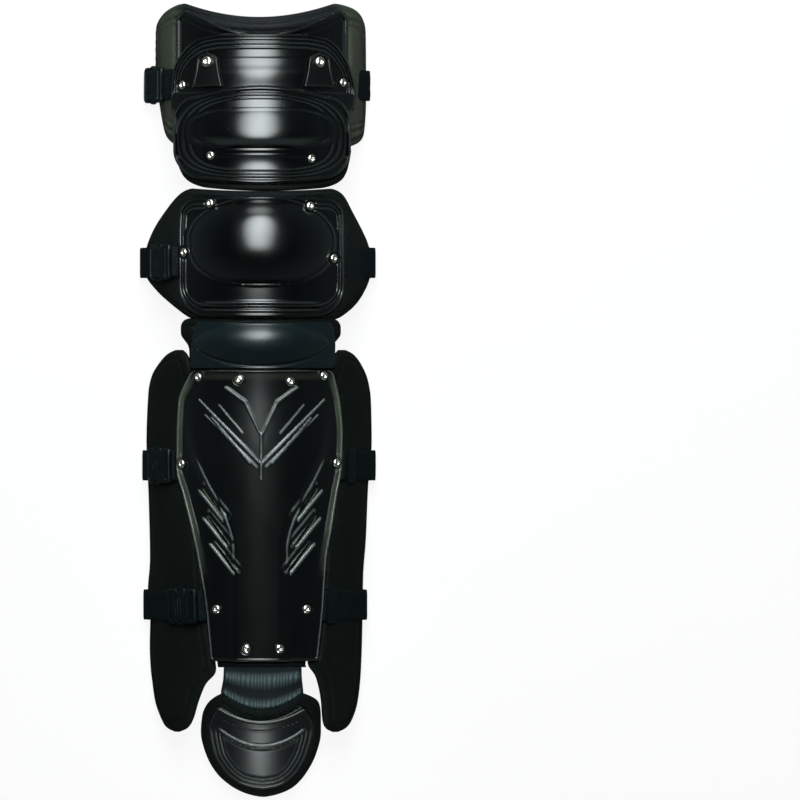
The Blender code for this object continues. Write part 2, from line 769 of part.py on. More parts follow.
def join_meshes(name, meshes, collection):
    """One helper object that holds several closed meshes, each a mesh and its matrix."""
    shape = bmesh.new()
    for mesh, matrix in meshes:
        mesh.transform(matrix)
        shape.from_mesh(mesh)
    joined = bpy.data.meshes.new(name)
    shape.to_mesh(joined)
    shape.free()
    made = link(name, joined, None, collection)
    made.display_type = "WIRE"
    made.hide_render = True
    return made


def cylinder_mesh(name, radius, depth, sides):
    shape = bmesh.new()
    bmesh.ops.create_cone(
        shape, cap_ends=True, segments=sides, radius1=radius, radius2=radius, depth=depth
    )
    mesh = bpy.data.meshes.new(name)
    shape.to_mesh(mesh)
    shape.free()
    return mesh


def frame_at(surface, x, down, gap=0.0, turn=0.0):
    """A matrix gap above a surface: Z is the normal and X runs along it to +X, turned about Z."""
    up = Vector(normal_of(surface, x, down))
    across = Vector((0, 1, 0)).cross(up).normalized()
    axes = Matrix((across, up.cross(across), up)).transposed() @ Matrix.Rotation(turn, 3, "Z")
    foot = Vector((x, GUARD_LENGTH / 2 - down, surface(x, down)))
    return Matrix.Translation(foot + gap * up) @ axes.to_4x4()


def surface_of(name):
    """The height of a plate's outer face, as a function of x and down."""
    patch, lift = PATCHES[name], LIFTS[name]

    def height(x, down):
        return lifted(patch.height, x, down, lift(x, down) if callable(lift) else lift)[..., 2]

    return height


def make_pads(parts):
    for name, (columns, rows) in PAD_GRIDS.items():
        patch = PATCHES[name]
        add_sheet(
            name,
            columns,
            rows,
            lambda u, v, patch=patch: patch.point(u, crowded(v), 0.0),
            PAD_WALLS.get(name, PAD_THICKNESS),
            "pad_cover",
            parts,
        )


def make_shells(parts):
    made = {}
    for name, (columns, rows) in SHELL_GRIDS.items():
        patch = PATCHES[name]
        made[name] = add_sheet(
            name,
            columns,
            rows,
            lambda u, v, patch=patch, name=name: patch.point(u, crowded(v), LIFTS[name]),
            TAB_THICKNESS if name.endswith("hinge_tab") else SHELL_THICKNESS,
            "rubber_cup" if name == "shin_top_cup" else "hard_shell",
            parts,
        )
    return made


def chevron_place(u, v):
    """The V rib: down grows towards its point in the middle, and the rib thins to its two tips."""
    x = CHEVRON_MIDDLE * SHIN_PLATE_HALF_WIDTH + u * CHEVRON_HALF_SPAN
    reach = 1 - np.abs(u)
    slant = math.hypot(CHEVRON_DEPTH, CHEVRON_HALF_SPAN) / CHEVRON_HALF_SPAN
    width = CHEVRON_WIDTH * slant * (0.4 + 0.6 * ease(reach * 2))
    down = SHIN_PLATE_START + CHEVRON_START * SHIN_PLATE_LENGTH + reach * CHEVRON_DEPTH
    down = down + (v - 0.5) * width
    return lifted(leg_height, x, down, shin_plate_lift(x, down) + CHEVRON_RISE)


def add_shin_relief(plate, helpers):
    """The V rib is raised from the shin plate, and the vents beside it are cut through."""
    rib = add_sheet(
        "chevron_rib", 8, 1, chevron_place, CHEVRON_RISE + SHELL_THICKNESS / 2, None, helpers
    )
    rib.display_type = "WIRE"
    rib.hide_render = True
    cut(plate, rib, "UNION")
    slots = []
    for at, *sides in VENT_ROWS:
        down = SHIN_PLATE_START + at * SHIN_PLATE_LENGTH
        for side, share in zip((-1, 1), sides):
            x = side * share * SHIN_PLATE_HALF_WIDTH
            place = frame_at(surface_of("shin_plate"), x, down, 0.0, side * VENT_LEAN)
            size = Matrix.Diagonal((VENT_LENGTH / 2, VENT_WIDTH / 2, 1, 1))
            slots.append((cylinder_mesh("vent", 1.0, 4 * SHELL_THICKNESS, 8), place @ size))
    cut(plate, join_meshes("vent_cutters", slots, helpers))


def rivet_mesh(name, head_radius):
    """Half a rivet's outline, from the top of its domed head down to the end of its shank."""
    shank_end = -(SHELL_THICKNESS + RIVET_GAP)
    profile = [(0.0, RIVET_HEAD_HEIGHT)]
    profile += [
        (head_radius * math.sin(angle), RIVET_HEAD_HEIGHT * math.cos(angle))
        for angle in np.radians(RIVET_HEAD_ANGLES)
    ]
    profile += [(head_radius, 0.0), (RIVET_SHANK_RADIUS, 0.0), (RIVET_SHANK_RADIUS, shank_end)]
    profile += [(0.0, shank_end)]
    mesh = bpy.data.meshes.new(name)
    edges = [(i, i + 1) for i in range(len(profile) - 1)]
    mesh.from_pydata([(radius, 0.0, z) for radius, z in profile], edges, [])
    return mesh


def make_rivets(parts, helpers, shells):
    """Each rivet stands on its plate's outer face, with its shank through a hole in the plate."""
    small = rivet_mesh("rivet", RIVET_HEAD_RADIUS)
    large = rivet_mesh("tab_rivet", TAB_RIVET_HEAD_RADIUS)
    small.materials.append(finish_of("rivet_metal"))
    large.materials.append(finish_of("rivet_metal"))
    holes = {}
    for plate, across, at, label in RIVET_ROWS:
        patch = PATCHES[plate]
        x = patch.centre + across * patch.half_width
        down = patch.start + at * patch.length
        frame = frame_at(surface_of(plate), x, down, RIVET_GAP)
        on_tab = plate.endswith("hinge_tab")
        made = link("rivet_" + label, large if on_tab else small, None, parts)
        made.matrix_world = frame
        turned = made.modifiers.new("turned", "SCREW")
        turned.steps = turned.render_steps = RIVET_SIDES
        turned.use_merge_vertices = True
        turned.merge_threshold = 0.00001
        hole = cylinder_mesh("hole", RIVET_SHANK_RADIUS + SEAT_GAP, 4 * SHELL_THICKNESS, RIVET_SIDES)
        holes.setdefault(plate, []).append((hole, frame))
        if on_tab:
            holes.setdefault("arch_plate", []).append((hole.copy(), frame))
    for plate, meshes in holes.items():
        cut(shells[plate], join_meshes(plate + "_rivet_holes", meshes, helpers))


def smooth_route(points, count):
    """count points along a Catmull-Rom curve through these points, evenly spaced by length."""
    points = np.asarray(points, float)
    ends = [2 * points[0] - points[1], *points, 2 * points[-1] - points[-2]]
    before, start, stop, after = (np.array(ends[i : len(points) - 1 + i]) for i in range(4))
    t = np.linspace(0, 1, 12, endpoint=False)[:, None, None]
    fine = 0.5 * (
        2 * start
        + (stop - before) * t
        + (2 * before - 5 * start + 4 * stop - after) * t**2
        + (3 * start - before - 3 * stop + after) * t**3
    )
    fine = np.concatenate([fine.transpose(1, 0, 2).reshape(-1, points.shape[1]), points[-1:]])
    length = np.concatenate([[0], np.cumsum(np.linalg.norm(np.diff(fine, axis=0), axis=1))])
    wanted = np.linspace(0, length[-1], count)
    return np.stack([np.interp(wanted, length, column) for column in fine.T], -1)


class Strap:
    """One strap, from the right rim of a plate, round the padding, to its buckle on the left."""

    def __init__(self, name, plate, padding, at, buckle_share):
        self.name, self.plate = name, PATCHES[plate]
        self.down = at * GUARD_LENGTH
        self.left_pad = PATCHES["left_shin_wing" if padding == "wing" else padding]
        self.right_pad = PATCHES["right_shin_wing" if padding == "wing" else padding]
        self.lift = LAYER_GAP + STRAP_THICKNESS / 2
        if name in LOOPED_STRAPS:
            self.lift = 2 * SEAT_GAP + LOOP_WALL + LOOP_SLACK + STRAP_THICKNESS / 2
        buckle_x = -buckle_share * self.left_pad.half_width
        buckle_gap = LAYER_GAP + BUCKLE_THICKNESS / 2
        self.buckle = frame_at(self.above(buckle_gap), buckle_x, self.down)
        self.reach = (SOCKET_LENGTH + CLIP_BASE_LENGTH) / 2

    def above(self, lift):
        return lambda x, down: lifted(leg_height, x, down, lift)[..., 2]

    def on_padding(self, xs, down, lift):
        return [(x, float(self.above(lift)(x, down))) for x in xs]

    def edge(self, side):
        """How far out the padding reaches anywhere under the strap's width."""
        pad = self.right_pad if side > 0 else self.left_pad
        return np.abs(pad.edge(self.down + np.linspace(-0.5, 0.5, 5) * STRAP_WIDTH, side)).max()

    def turn(self, side, down):
        """The strap's way round the edge of the padding and down to the floor, as x and z."""
        edge, floor = self.edge(side), STRAP_THICKNESS / 2
        brink = float(leg_height(edge, down))
        return [
            (side * (edge + floor + 1.9 * LAYER_GAP), brink - LAYER_GAP),
            (side * (edge + floor + LAYER_GAP), floor + 0.5 * (brink - floor)),
            (side * (edge - 2 * STRAP_THICKNESS), floor),
            (side * (edge - 7 * STRAP_THICKNESS), floor),
        ]

    def buckle_end(self, side, down):
        """Where webbing meets the buckle's outer end, side -1, or its inner end, side 1, and a point
        a little further on in line with the buckle."""
        offset = self.down - down
        end = self.buckle @ Vector((side * (self.reach + LAYER_GAP), offset, 0))
        further = self.buckle @ Vector((side * (self.reach + 1.8 * STRAP_THICKNESS), offset, 0))
        return [(end.x, end.z), (further.x, further.z)]

    def route(self, down):
        """The strap's middle line as x and z, at this place across its width."""
        plate_rim = self.plate.edge(down, 1) + SEAT_GAP
        right = self.on_padding(
            np.linspace(plate_rim, self.edge(1) - EDGE_INSET, 5), down, self.lift
        )
        left = self.buckle_end(-1, down)
        room = left[-1][0] + self.edge(-1) - EDGE_INSET
        if room > STRAP_THICKNESS:
            xs = left[-1][0] - room * np.linspace(0.4, 1, 3)
            left += self.on_padding(xs, down, self.lift)
        for x, z in self.turn(-1, down):
            lower = z < left[-1][1] - STRAP_THICKNESS / 2 and x < left[-1][0] + STRAP_THICKNESS
            if lower or z <= STRAP_THICKNESS / 2:
                left.append((x, z))
        middle = [(0.0, STRAP_THICKNESS / 2)]
        line = smooth_route(right + self.turn(1, down) + middle + left[::-1], STRAP_STEPS + 1)
        line[:, 1] = np.maximum(line[:, 1], STRAP_THICKNESS / 2)
        return line

    def place(self, u, v):
        """u runs along the strap and v across its width."""
        placed = np.empty((len(u), 3))
        for share in np.unique(v):
            chosen = v == share
            down = self.down + (share - 0.5) * STRAP_WIDTH
            line = self.route(down)
            index = np.rint((1 - (u[chosen] + 1) / 2) * STRAP_STEPS).astype(int)
            placed[chosen, 0] = line[index, 0]
            placed[chosen, 1] = GUARD_LENGTH / 2 - down
            placed[chosen, 2] = line[index, 1]
        return placed

    def tab_place(self, u, v):
        """The short tab from the rim of the plate on the left to the buckle's clip."""
        placed = np.empty((len(u), 3))
        lift = LAYER_GAP + STRAP_THICKNESS / 2
        for share in np.unique(v):
            chosen = v == share
            down = self.down + (share - 0.5) * STRAP_WIDTH
            rim = self.plate.edge(down, -1) - SEAT_GAP
            stops = np.array(self.buckle_end(1, down) + self.on_padding([rim], down, lift))
            at = (u[chosen] + 1) / 2 * (len(stops) - 1)
            placed[chosen, 0] = np.interp(at, range(len(stops)), stops[:, 0])
            placed[chosen, 1] = GUARD_LENGTH / 2 - down
            placed[chosen, 2] = np.interp(at, range(len(stops)), stops[:, 1])
        return placed


def make_socket(strap, parts, helpers):
    """The buckle's socket: a box with a mouth for the clip's prongs and a window in each side."""
    start = -strap.reach
    body = bar_mesh(
        strap.name + "_buckle_socket",
        (SOCKET_LENGTH, BUCKLE_WIDTH, BUCKLE_THICKNESS),
        (start + SOCKET_LENGTH / 2, 0, 0),
    )
    made = link(body.name, body, "buckle_plastic", parts)
    rounded = made.modifiers.new("rounded", "BEVEL")
    rounded.width = BUCKLE_WALL / 2
    rounded.segments = 1
    rear = 2 * BUCKLE_WALL
    mouth_length = SOCKET_LENGTH - rear + BUCKLE_WALL
    mouth = bar_mesh(
        "mouth",
        (mouth_length, BUCKLE_WIDTH - 2 * BUCKLE_WALL, BUCKLE_THICKNESS - 2 * BUCKLE_WALL),
        (start + rear + mouth_length / 2, 0, 0),
    )
    window = bar_mesh(
        "window",
        (WINDOW_LENGTH, 2 * BUCKLE_WIDTH, BUCKLE_THICKNESS - 2 * BUCKLE_WALL - SEAT_GAP),
        (start + SOCKET_LENGTH - PRONG_LENGTH + WINDOW_LENGTH / 2, 0, 0),
    )
    opening = join_meshes(strap.name + "_socket_mouth", [(mouth, strap.buckle)], helpers)
    sides = join_meshes(strap.name + "_socket_windows", [(window, strap.buckle)], helpers)
    made.matrix_world = strap.buckle
    cut(made, opening)
    cut(made, sides)


def make_clip(strap, parts, helpers):
    """The buckle's clip: a base outside the socket and two prongs inside it."""
    base_start = SOCKET_LENGTH - strap.reach + SEAT_GAP
    base_length = CLIP_BASE_LENGTH - SEAT_GAP
    base = bar_mesh(
        strap.name + "_buckle_clip",
        (base_length, BUCKLE_WIDTH, BUCKLE_THICKNESS),
        (base_start + base_length / 2, 0, 0),
    )
    made = link(base.name, base, "buckle_plastic", parts)
    made.matrix_world = strap.buckle
    inner_half = BUCKLE_WIDTH / 2 - BUCKLE_WALL - SEAT_GAP
    inner_height = BUCKLE_THICKNESS - 2 * BUCKLE_WALL - 2 * SEAT_GAP
    for side in (-1, 1):
        prong = bar_mesh(
            "prong",
            (PRONG_LENGTH + BUCKLE_WALL, PRONG_WIDTH, inner_height),
            (
                base_start + BUCKLE_WALL - (PRONG_LENGTH + BUCKLE_WALL) / 2,
                side * (inner_half - PRONG_WIDTH / 2),
                0,
            ),
        )
        label = "left" if side < 0 else "right"
        cut(made, join_meshes(f"{strap.name}_{label}_prong", [(prong, strap.buckle)], helpers), "UNION")


def make_loop(strap, share, parts, helpers):
    """A plastic loop that holds the strap flat where it leaves the plate."""
    x = share * strap.right_pad.half_width
    frame = frame_at(strap.above(strap.lift), x, strap.down)
    slot_height = STRAP_THICKNESS + 2 * LOOP_SLACK
    body = bar_mesh(
        strap.name + "_strap_loop",
        (LOOP_LENGTH, BUCKLE_WIDTH, slot_height + 2 * LOOP_WALL),
    )
    made = link(body.name, body, "buckle_plastic", parts)
    made.matrix_world = frame
    slot = bar_mesh("slot", (2 * LOOP_LENGTH, STRAP_WIDTH + 4 * SEAT_GAP, slot_height))
    cut(made, join_meshes(strap.name + "_loop_slot", [(slot, frame)], helpers))


def make_straps(parts, helpers):
    for row in STRAP_ROWS:
        strap = Strap(*row)
        add_sheet(
            strap.name + "_strap", STRAP_STEPS, 1, strap.place, STRAP_THICKNESS, "webbing", parts, 0.0
        )
        add_sheet(
            strap.name + "_buckle_tab", 2, 1, strap.tab_place, STRAP_THICKNESS, "webbing", parts, 0.0
        )
        make_socket(strap, parts, helpers)
        make_clip(strap, parts, helpers)
        if strap.name in LOOPED_STRAPS:
            make_loop(strap, LOOPED_STRAPS[strap.name], parts, helpers)


def main():
    clear_scene()
    parts = make_collection("catchers_leg_guard")
    helpers = make_collection("cutters", hidden=True)
    make_pads(parts)
    shells = make_shells(parts)
    add_shin_relief(shells["shin_plate"], helpers)
    make_rivets(parts, helpers, shells)
    make_straps(parts, helpers)
    root = bpy.data.objects.new("guard", None)
    parts.objects.link(root)
    for piece in list(parts.objects):
        if piece is not root:
            piece.parent = root


main()
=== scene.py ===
"""A catcher's leg guard as it lies on its back: moulded plates on padding, with rivets, webbing
straps and side-release buckles, on a pale studio floor.

Lengths are in metres. x goes to the right across the guard's front, and down is the distance from
the thigh end towards the toe. Every pad and plate lies on one arched form, the front of the padding
round a leg. A lift is a distance outward from that form, along its normal.
"""

import math

import bpy
import numpy as np
from bpy.props import FloatProperty, FloatVectorProperty, IntProperty, PointerProperty
from mathutils import Matrix, Vector


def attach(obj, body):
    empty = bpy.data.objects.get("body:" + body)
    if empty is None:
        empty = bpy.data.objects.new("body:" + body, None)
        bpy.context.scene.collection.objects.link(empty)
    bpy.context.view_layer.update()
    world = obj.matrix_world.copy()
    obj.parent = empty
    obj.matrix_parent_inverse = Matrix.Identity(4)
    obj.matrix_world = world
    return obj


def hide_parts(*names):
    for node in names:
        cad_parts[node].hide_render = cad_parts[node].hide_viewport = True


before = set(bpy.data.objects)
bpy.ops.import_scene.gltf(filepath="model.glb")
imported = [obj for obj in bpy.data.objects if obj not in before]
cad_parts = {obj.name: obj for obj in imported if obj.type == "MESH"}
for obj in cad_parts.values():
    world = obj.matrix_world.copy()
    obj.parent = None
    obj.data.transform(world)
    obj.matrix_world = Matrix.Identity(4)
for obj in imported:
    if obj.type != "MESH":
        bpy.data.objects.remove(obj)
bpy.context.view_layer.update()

bl_info = {
    "name": "Catcher's leg guard",
    "version": (1, 0, 0),
    "blender": (4, 5, 0),
    "location": "3D View > Sidebar > Leg guard",
    "description": "Builds a catcher's leg guard: plates, padding, rivets, straps and buckles",
    "category": "Add Mesh",
}

# Where the sections of the guard start and how long they are
THIGH_LENGTH = 0.1225
KNEE_TOP_START = 0.1233
KNEE_TOP_LENGTH = 0.0325
KNEE_START = 0.1566
KNEE_LENGTH = 0.1095
LINER_START = 0.2669
LINER_LENGTH = 0.290
GUSSET_START = 0.5577
GUSSET_LENGTH = 0.0205
TOE_START = 0.579
TOE_LENGTH = 0.089
GUARD_LENGTH = TOE_START + TOE_LENGTH
WING_START = LINER_START + 0.0246
WING_LENGTH = 0.3217
WING_GAP = 0.0015
WING_OVERLAP = 0.001
SHIN_HALF_WIDTH = 0.0953

# The arched form
CROWN = 0.100
FORM_EDGE = 0.007
FORM_HALF_WIDTH = 0.098
TOE_CROWN = 0.0615
TOE_TIP_CROWN = 0.013
TOE_SIDE_DROP = 0.024
TOE_HALF_WIDTH = 0.0512
TOE_ARC_HALF_WIDTH = 0.0385

# Walls, the gaps between layers, and the lift of each layer's outer face
PAD_THICKNESS = 0.009
TOE_PAD_THICKNESS = 0.007
SHELL_THICKNESS = 0.0025
SHELL_EDGE_RADIUS = 0.0011
LAYER_GAP = 0.0008
SEAT_GAP = 0.0003
SHELL_LIFT = LAYER_GAP + SHELL_THICKNESS
ARCH_LIFT = 2 * SHELL_LIFT + SEAT_GAP
TAB_THICKNESS = 0.0016
TAB_LIFT = ARCH_LIFT + LAYER_GAP + TAB_THICKNESS
# The plates' common axis lies this far to the right
PLATE_SHIFT = 0.003
# How far a knee pad reaches past each end of its plain shape, and the liner past its upper end and in
# all, so that no line of floor shows between them
JOIN = 0.0004
LINER_RISE = 0.0020
LINER_GROWTH = 0.0030
# Lowest place of a filled pad's skin, and how far the floor lies under the guard
FLOOR_CLEARANCE = 0.0003

# Webbing and buckles
STRAP_WIDTH = 0.025
STRAP_THICKNESS = 0.0018
EDGE_INSET = 0.0035
BUCKLE_WIDTH = 0.030
BUCKLE_THICKNESS = 0.0078
SOCKET_LENGTH = 0.0200
CLIP_LENGTH = 0.0110
BUCKLE_REACH = (SOCKET_LENGTH + CLIP_LENGTH) / 2
LOOP_LENGTH = 0.0095
LOOP_WALL = 0.0010
LOOP_SLACK = 0.0003

# The form along the guard: its place as a share of the length, its crown as a share of CROWN, its
# spread as a share of FORM_HALF_WIDTH, and the power that squares its arch
FORM_ROWS = (
    (0.00, 0.79, 0.930, 2.4), (0.10, 0.87, 0.930, 2.4), (0.20, 0.95, 0.945, 2.4), (0.32, 1.00, 1.000, 2.4),
    (0.42, 0.97, 1.000, 2.2), (0.50, 0.92, 0.990, 2.0), (0.62, 0.85, 0.990, 2.0), (0.75, 0.76, 0.980, 2.0),
    (0.88, 0.66, 0.970, 2.0), (1.00, 0.58, 0.970, 2.0),
)

# Outlines: place along the piece, left and right as shares of its half width
OUTLINES = {
    "thigh_pad": (
        (0, 0.82, 0.84), (0.03, 0.87, 0.93), (0.08, 0.93, 0.975), (0.16, 0.985, 1.01), (0.5, 0.985, 1.014),
        (0.67, 0.95, 1.014), (0.85, 0.905, 1), (0.94, 0.865, 0.98), (1, 0.81, 0.9),
    ),
    "upper_knee_pad": ((0, 0.95, 1.04), (0.5, 0.885, 1), (0.8, 0.8, 0.93), (1, 0.69, 0.83)),
    "lower_knee_pad": (
        (0, 0.62, 0.68), (0.05, 0.7, 0.745), (0.17, 0.82, 0.82), (0.31, 0.93, 0.905), (0.43, 0.99, 0.965),
        (0.53, 1.015, 0.985), (0.65, 1, 0.98), (0.77, 0.9, 0.93), (0.88, 0.76, 0.85), (1, 0.58, 0.69),
    ),
    "shin_liner": (
        (0, 0.97, 1.03), (0.045, 0.97, 1.03), (0.085, 0.86, 0.92), (0.13, 0.86, 0.92), (0.2, 0.78, 0.84),
        (1, 0.68, 0.76),
    ),
    "ankle_gusset": ((0, 0.84, 1.06), (0.5, 0.86, 1.07), (1, 0.92, 1.1)),
    "toe_pad": (
        (0, 0.6, 0.73), (0.1, 0.83, 0.99), (0.22, 0.93, 1.02), (0.4, 0.96, 1.02), (0.6, 0.88, 0.94),
        (0.78, 0.71, 0.78), (0.92, 0.43, 0.56), (1, 0.14, 0.27),
    ),
    "hinge_tab": ((0, 0.55, 0.55), (0.12, 0.78, 0.78), (0.5, 0.92, 0.92), (1, 1.2, 1.2)),
    "thigh_shell": ((0, 0.90, 1.00), (0.1, 0.96, 1.04), (0.4, 0.96, 1.04), (1, 0.92, 1.00)),
    "arch_plate": (
        (0, 0.46, 0.58), (0.05, 0.63, 0.75), (0.2, 0.80, 0.89), (0.45, 0.92, 1), (0.75, 0.95, 1.05),
        (1, 0.95, 1.03),
    ),
    "upper_knee_cup": ((0, 0.93, 1.01), (0.3, 0.965, 1.045), (0.65, 0.965, 1.05), (1, 0.93, 1.02)),
    "lower_knee_cup": ((0, 0.93, 1.01), (0.3, 0.96, 1.04), (0.7, 0.96, 1.04), (1, 0.92, 1.01)),
    "shin_top_cup": ((0, 0.86, 1.02), (0.5, 0.92, 1.07), (1, 0.94, 1.06)),
    "shin_plate": (
        (0, 0.8, 0.895), (0.11, 0.96, 0.98), (0.22, 0.98, 1.012), (0.34, 0.985, 0.998),
        (0.43, 0.905, 0.945), (0.55, 0.8, 0.88), (0.65, 0.725, 0.82), (0.82, 0.63, 0.78), (1, 0.57, 0.715),
    ),
    "toe_shell": (
        (0, 0.78, 0.86), (0.25, 0.94, 1.03), (0.55, 0.87, 0.93), (0.8, 0.65, 0.73), (0.93, 0.42, 0.52),
        (1, 0.2, 0.33),
    ),
}
# A wing's outline: place along it, its outer edge and its inner edge
LEFT_WING_ROWS = (
    (0, 0.735, 0.66), (0.009, 0.80, 0.625), (0.035, 0.885, 0.59), (0.07, 0.957, 0.56), (0.11, 0.985, 0.535),
    (0.24, 1.003, 0.515), (0.39, 0.982, 0.485), (0.55, 0.97, 0.46), (0.63, 0.99, 0.443),
    (0.69, 0.967, 0.43), (0.78, 0.973, 0.395), (0.84, 0.963, 0.37), (0.87, 0.95, 0.46), (0.92, 0.925, 0.53),
    (0.965, 0.87, 0.575), (0.99, 0.82, 0.625), (1, 0.745, 0.70),
)
RIGHT_WING_ROWS = (
    (0, 0.77, 0.70), (0.009, 0.83, 0.67), (0.04, 0.91, 0.64), (0.08, 0.965, 0.61), (0.13, 0.99, 0.585),
    (0.24, 0.997, 0.56), (0.36, 0.965, 0.535), (0.5, 0.945, 0.51), (0.59, 0.922, 0.495),
    (0.76, 0.912, 0.46), (0.82, 0.905, 0.43), (0.85, 0.9, 0.5), (0.92, 0.875, 0.55), (0.965, 0.83, 0.56),
    (0.99, 0.775, 0.585), (1, 0.705, 0.65),
)

# Rivets of each plate: name, x as a share of the plate's half width, place as a share of its length
RIVETS = {
    "arch_plate": (("arch_left", -0.82, 0.695), ("arch_right", 0.918, 0.655)),
    "upper_knee_cup": (("upper_cup_left", -0.53, 0.71), ("upper_cup_right", 0.605, 0.745)),
    "lower_knee_cup": (
        ("lower_cup_top_left", -0.57, 0.052), ("lower_cup_top_right", 0.63, 0.075),
        ("lower_cup_side_left", -0.89, 0.46), ("lower_cup_side_right", 0.91, 0.51),
    ),
    "shin_plate": (
        ("shin_top_1", -0.71, 0.024), ("shin_top_2", -0.22, 0.033), ("shin_top_3", 0.39, 0.040),
        ("shin_top_4", 0.785, 0.020), ("shin_side_left", -0.917, 0.322), ("shin_side_right", 0.935, 0.319),
        ("shin_low_left", -0.497, 0.821), ("shin_low_right", 0.58, 0.821), ("shin_foot_left", -0.14, 0.956),
        ("shin_foot_right", 0.26, 0.956),
    ),
    "left_hinge_tab": (("tab_left", 0.0, 0.25),),
    "right_hinge_tab": (("tab_right", 0.0, 0.25),),
}
RIVET_RADIUS = 0.0038
TAB_RIVET_RADIUS = 0.0048
RIVET_GAP = 0.0002
# Half a rivet from its dimple over its domed head to the end of its shank: radius as a share of the
# head's, and height
RIVET_PROFILE = (
    (0.00, 0.00045), (0.20, 0.00050), (0.27, 0.00085), (0.31, 0.00150), (0.40, 0.00178), (0.55, 0.00172),
    (0.72, 0.00150), (0.86, 0.00112), (0.95, 0.00068), (0.995, 0.00025), (0.985, 0.0), (0.90, -0.00015),
    (0.44, -0.00015), (0.44, -0.0028), (0.0, -0.0028),
)

# Louvre vents beside the shield: place along the shin plate, left and right x as shares
VENT_ROWS = ((0.457, 0.53, 0.59), (0.552, 0.48, 0.57), (0.64, 0.4, 0.5))
VENT_LENGTH = 0.0330
VENT_OPENING = 0.0028
VENT_LEAN = math.radians(51)
VENT_CUT_DEPTH = 0.006

# Straps: name, plate, padding, place as a share of the guard, and the buckle's x as a share
STRAP_ROWS = (
    ("thigh", "thigh_shell", "thigh_pad", 0.102, 0.985),
    ("knee", "lower_knee_cup", "lower_knee_pad", 0.326, 0.845),
    ("upper_shin", "shin_plate", "wing", 0.582, 0.868), ("lower_shin", "shin_plate", "wing", 0.758, 0.660),
)
LOOPED_STRAPS = {"upper_shin": 0.810, "lower_shin": 0.640}

# The camera's sensor in millimetres, and the width that it sees at a height over the floor
SENSOR_WIDTH = 36.0
FOCUS_HEIGHT = 0.05
VIEW_WIDTH = 0.672
FLOOR_HALF_SIZE = 6.0
FLOOR_GLOW = 0.90
STUDIO_TINT = (0.91, 1.0, 0.99)
# How much closer each layer of a soft lamp is than the wider one round it
LAMP_STEP = 0.01


def read_rows(rows, at):
    """The columns after the first of a table at the places at, on a cubic that never overshoots:
    each tangent is the harmonic mean of the two slopes beside it, or nought where they turn."""
    table = np.array(rows, float)
    stops, values = table[:, 0], table[:, 1:]
    steps = np.diff(stops)[:, None]
    slopes = np.diff(values, axis=0) / steps
    tangents = np.zeros_like(values)
    before, after = slopes[:-1], slopes[1:]
    same_way = before * after > 0
    total = np.where(same_way, before + after, 1.0)
    tangents[1:-1] = np.where(same_way, 2 * before * after / total, 0.0)
    tangents[0], tangents[-1] = slopes[0], slopes[-1]
    at = np.clip(np.asarray(at, float), stops[0], stops[-1])
    piece = np.clip(np.searchsorted(stops, at, side="right") - 1, 0, len(stops) - 2)
    width = steps[piece, 0]
    t = ((at - stops[piece]) / width)[..., None]
    width = width[..., None]
    return (
        (1 + 2 * t) * (1 - t) ** 2 * values[piece]
        + t * (1 - t) ** 2 * width * tangents[piece]
        + t * t * (3 - 2 * t) * values[piece + 1]
        + t * t * (t - 1) * width * tangents[piece + 1]
    )


def ease(t):
    """0 up to t = 0, 1 from t = 1, and 3tt - 2ttt between them."""
    t = np.clip(t, 0, 1)
    return t * t * (3 - 2 * t)


def ridge(d, at, half):
    """A smooth hump of height 1 at d = at, down to 0 at half a width away: (1 - share squared) squared."""
    return np.clip(1 - ((d - at) / half) ** 2, 0, None) ** 2


def rounded(radius, run):
    """How far a quarter circle lies inside its corner at this run from the corner's start."""
    return radius - np.sqrt(radius**2 - np.clip(radius - run, 0, radius) ** 2)


def unit(vectors):
    """The vectors at length 1."""
    return vectors / np.linalg.norm(vectors, axis=-1, keepdims=True)


def circle(count):
    """Evenly spaced angles round a circle."""
    return np.linspace(0, 2 * math.pi, count, endpoint=False)


def shift_share(x, half):
    """How far x lies from the plates' axis, as a share of half a width."""
    return (x - PLATE_SHIFT) / half


def leg_height(x, down):
    """The leg form: FORM_EDGE plus the rest of the crown times 1 minus |x / spread| to the power."""
    crown, spread, power = np.moveaxis(read_rows(FORM_ROWS, down / GUARD_LENGTH), -1, 0)
    across = np.abs(x) / (spread * FORM_HALF_WIDTH)
    return FORM_EDGE + (crown * CROWN - FORM_EDGE) * (1 - across**power)


def toe_height(x, down):
    """The toe form: a crown that slopes to the tip, less a parabola across it."""
    along = (down - TOE_START) / TOE_LENGTH
    crown = TOE_CROWN + (TOE_TIP_CROWN - TOE_CROWN) * along * (0.75 + 0.25 * along)
    return crown - TOE_SIDE_DROP * (x / TOE_HALF_WIDTH) ** 2


def gusset_height(x, down):
    """The gusset's form: the leg form eased into the toe form."""
    turn = ease((down - GUSSET_START) / (TOE_START - GUSSET_START))
    return leg_height(x, down) * (1 - turn) + toe_height(x, down) * turn


def normal_of(height, x, down, step=0.0005):
    """Unit normals of a height function, from central differences."""
    across = (height(x + step, down) - height(x - step, down)) / (2 * step)
    along = (height(x, down - step) - height(x, down + step)) / (2 * step)
    return unit(np.stack([-across, -along, np.ones_like(across)], -1))


def stand_off(height, x, down, lift):
    """Points that stand off a form by lift along its normal and lie at x and down in plan, with the
    normals there. Each foot is stepped back along its normal until it settles."""
    x, down, lift = np.broadcast_arrays(*(np.asarray(a, float) for a in (x, down, lift)))
    foot_x, foot_down = x, down
    for _ in range(6):
        normal = normal_of(height, foot_x, foot_down)
        foot_x = x - lift * normal[..., 0]
        foot_down = down + lift * normal[..., 1]
    z = height(foot_x, foot_down) + lift * normal[..., 2]
    return np.stack([x, GUARD_LENGTH / 2 - down, z], -1), normal


def lift_at(lift, x, down):
    """A lift is a number or a function of x and down."""
    return lift(x, down) if callable(lift) else lift


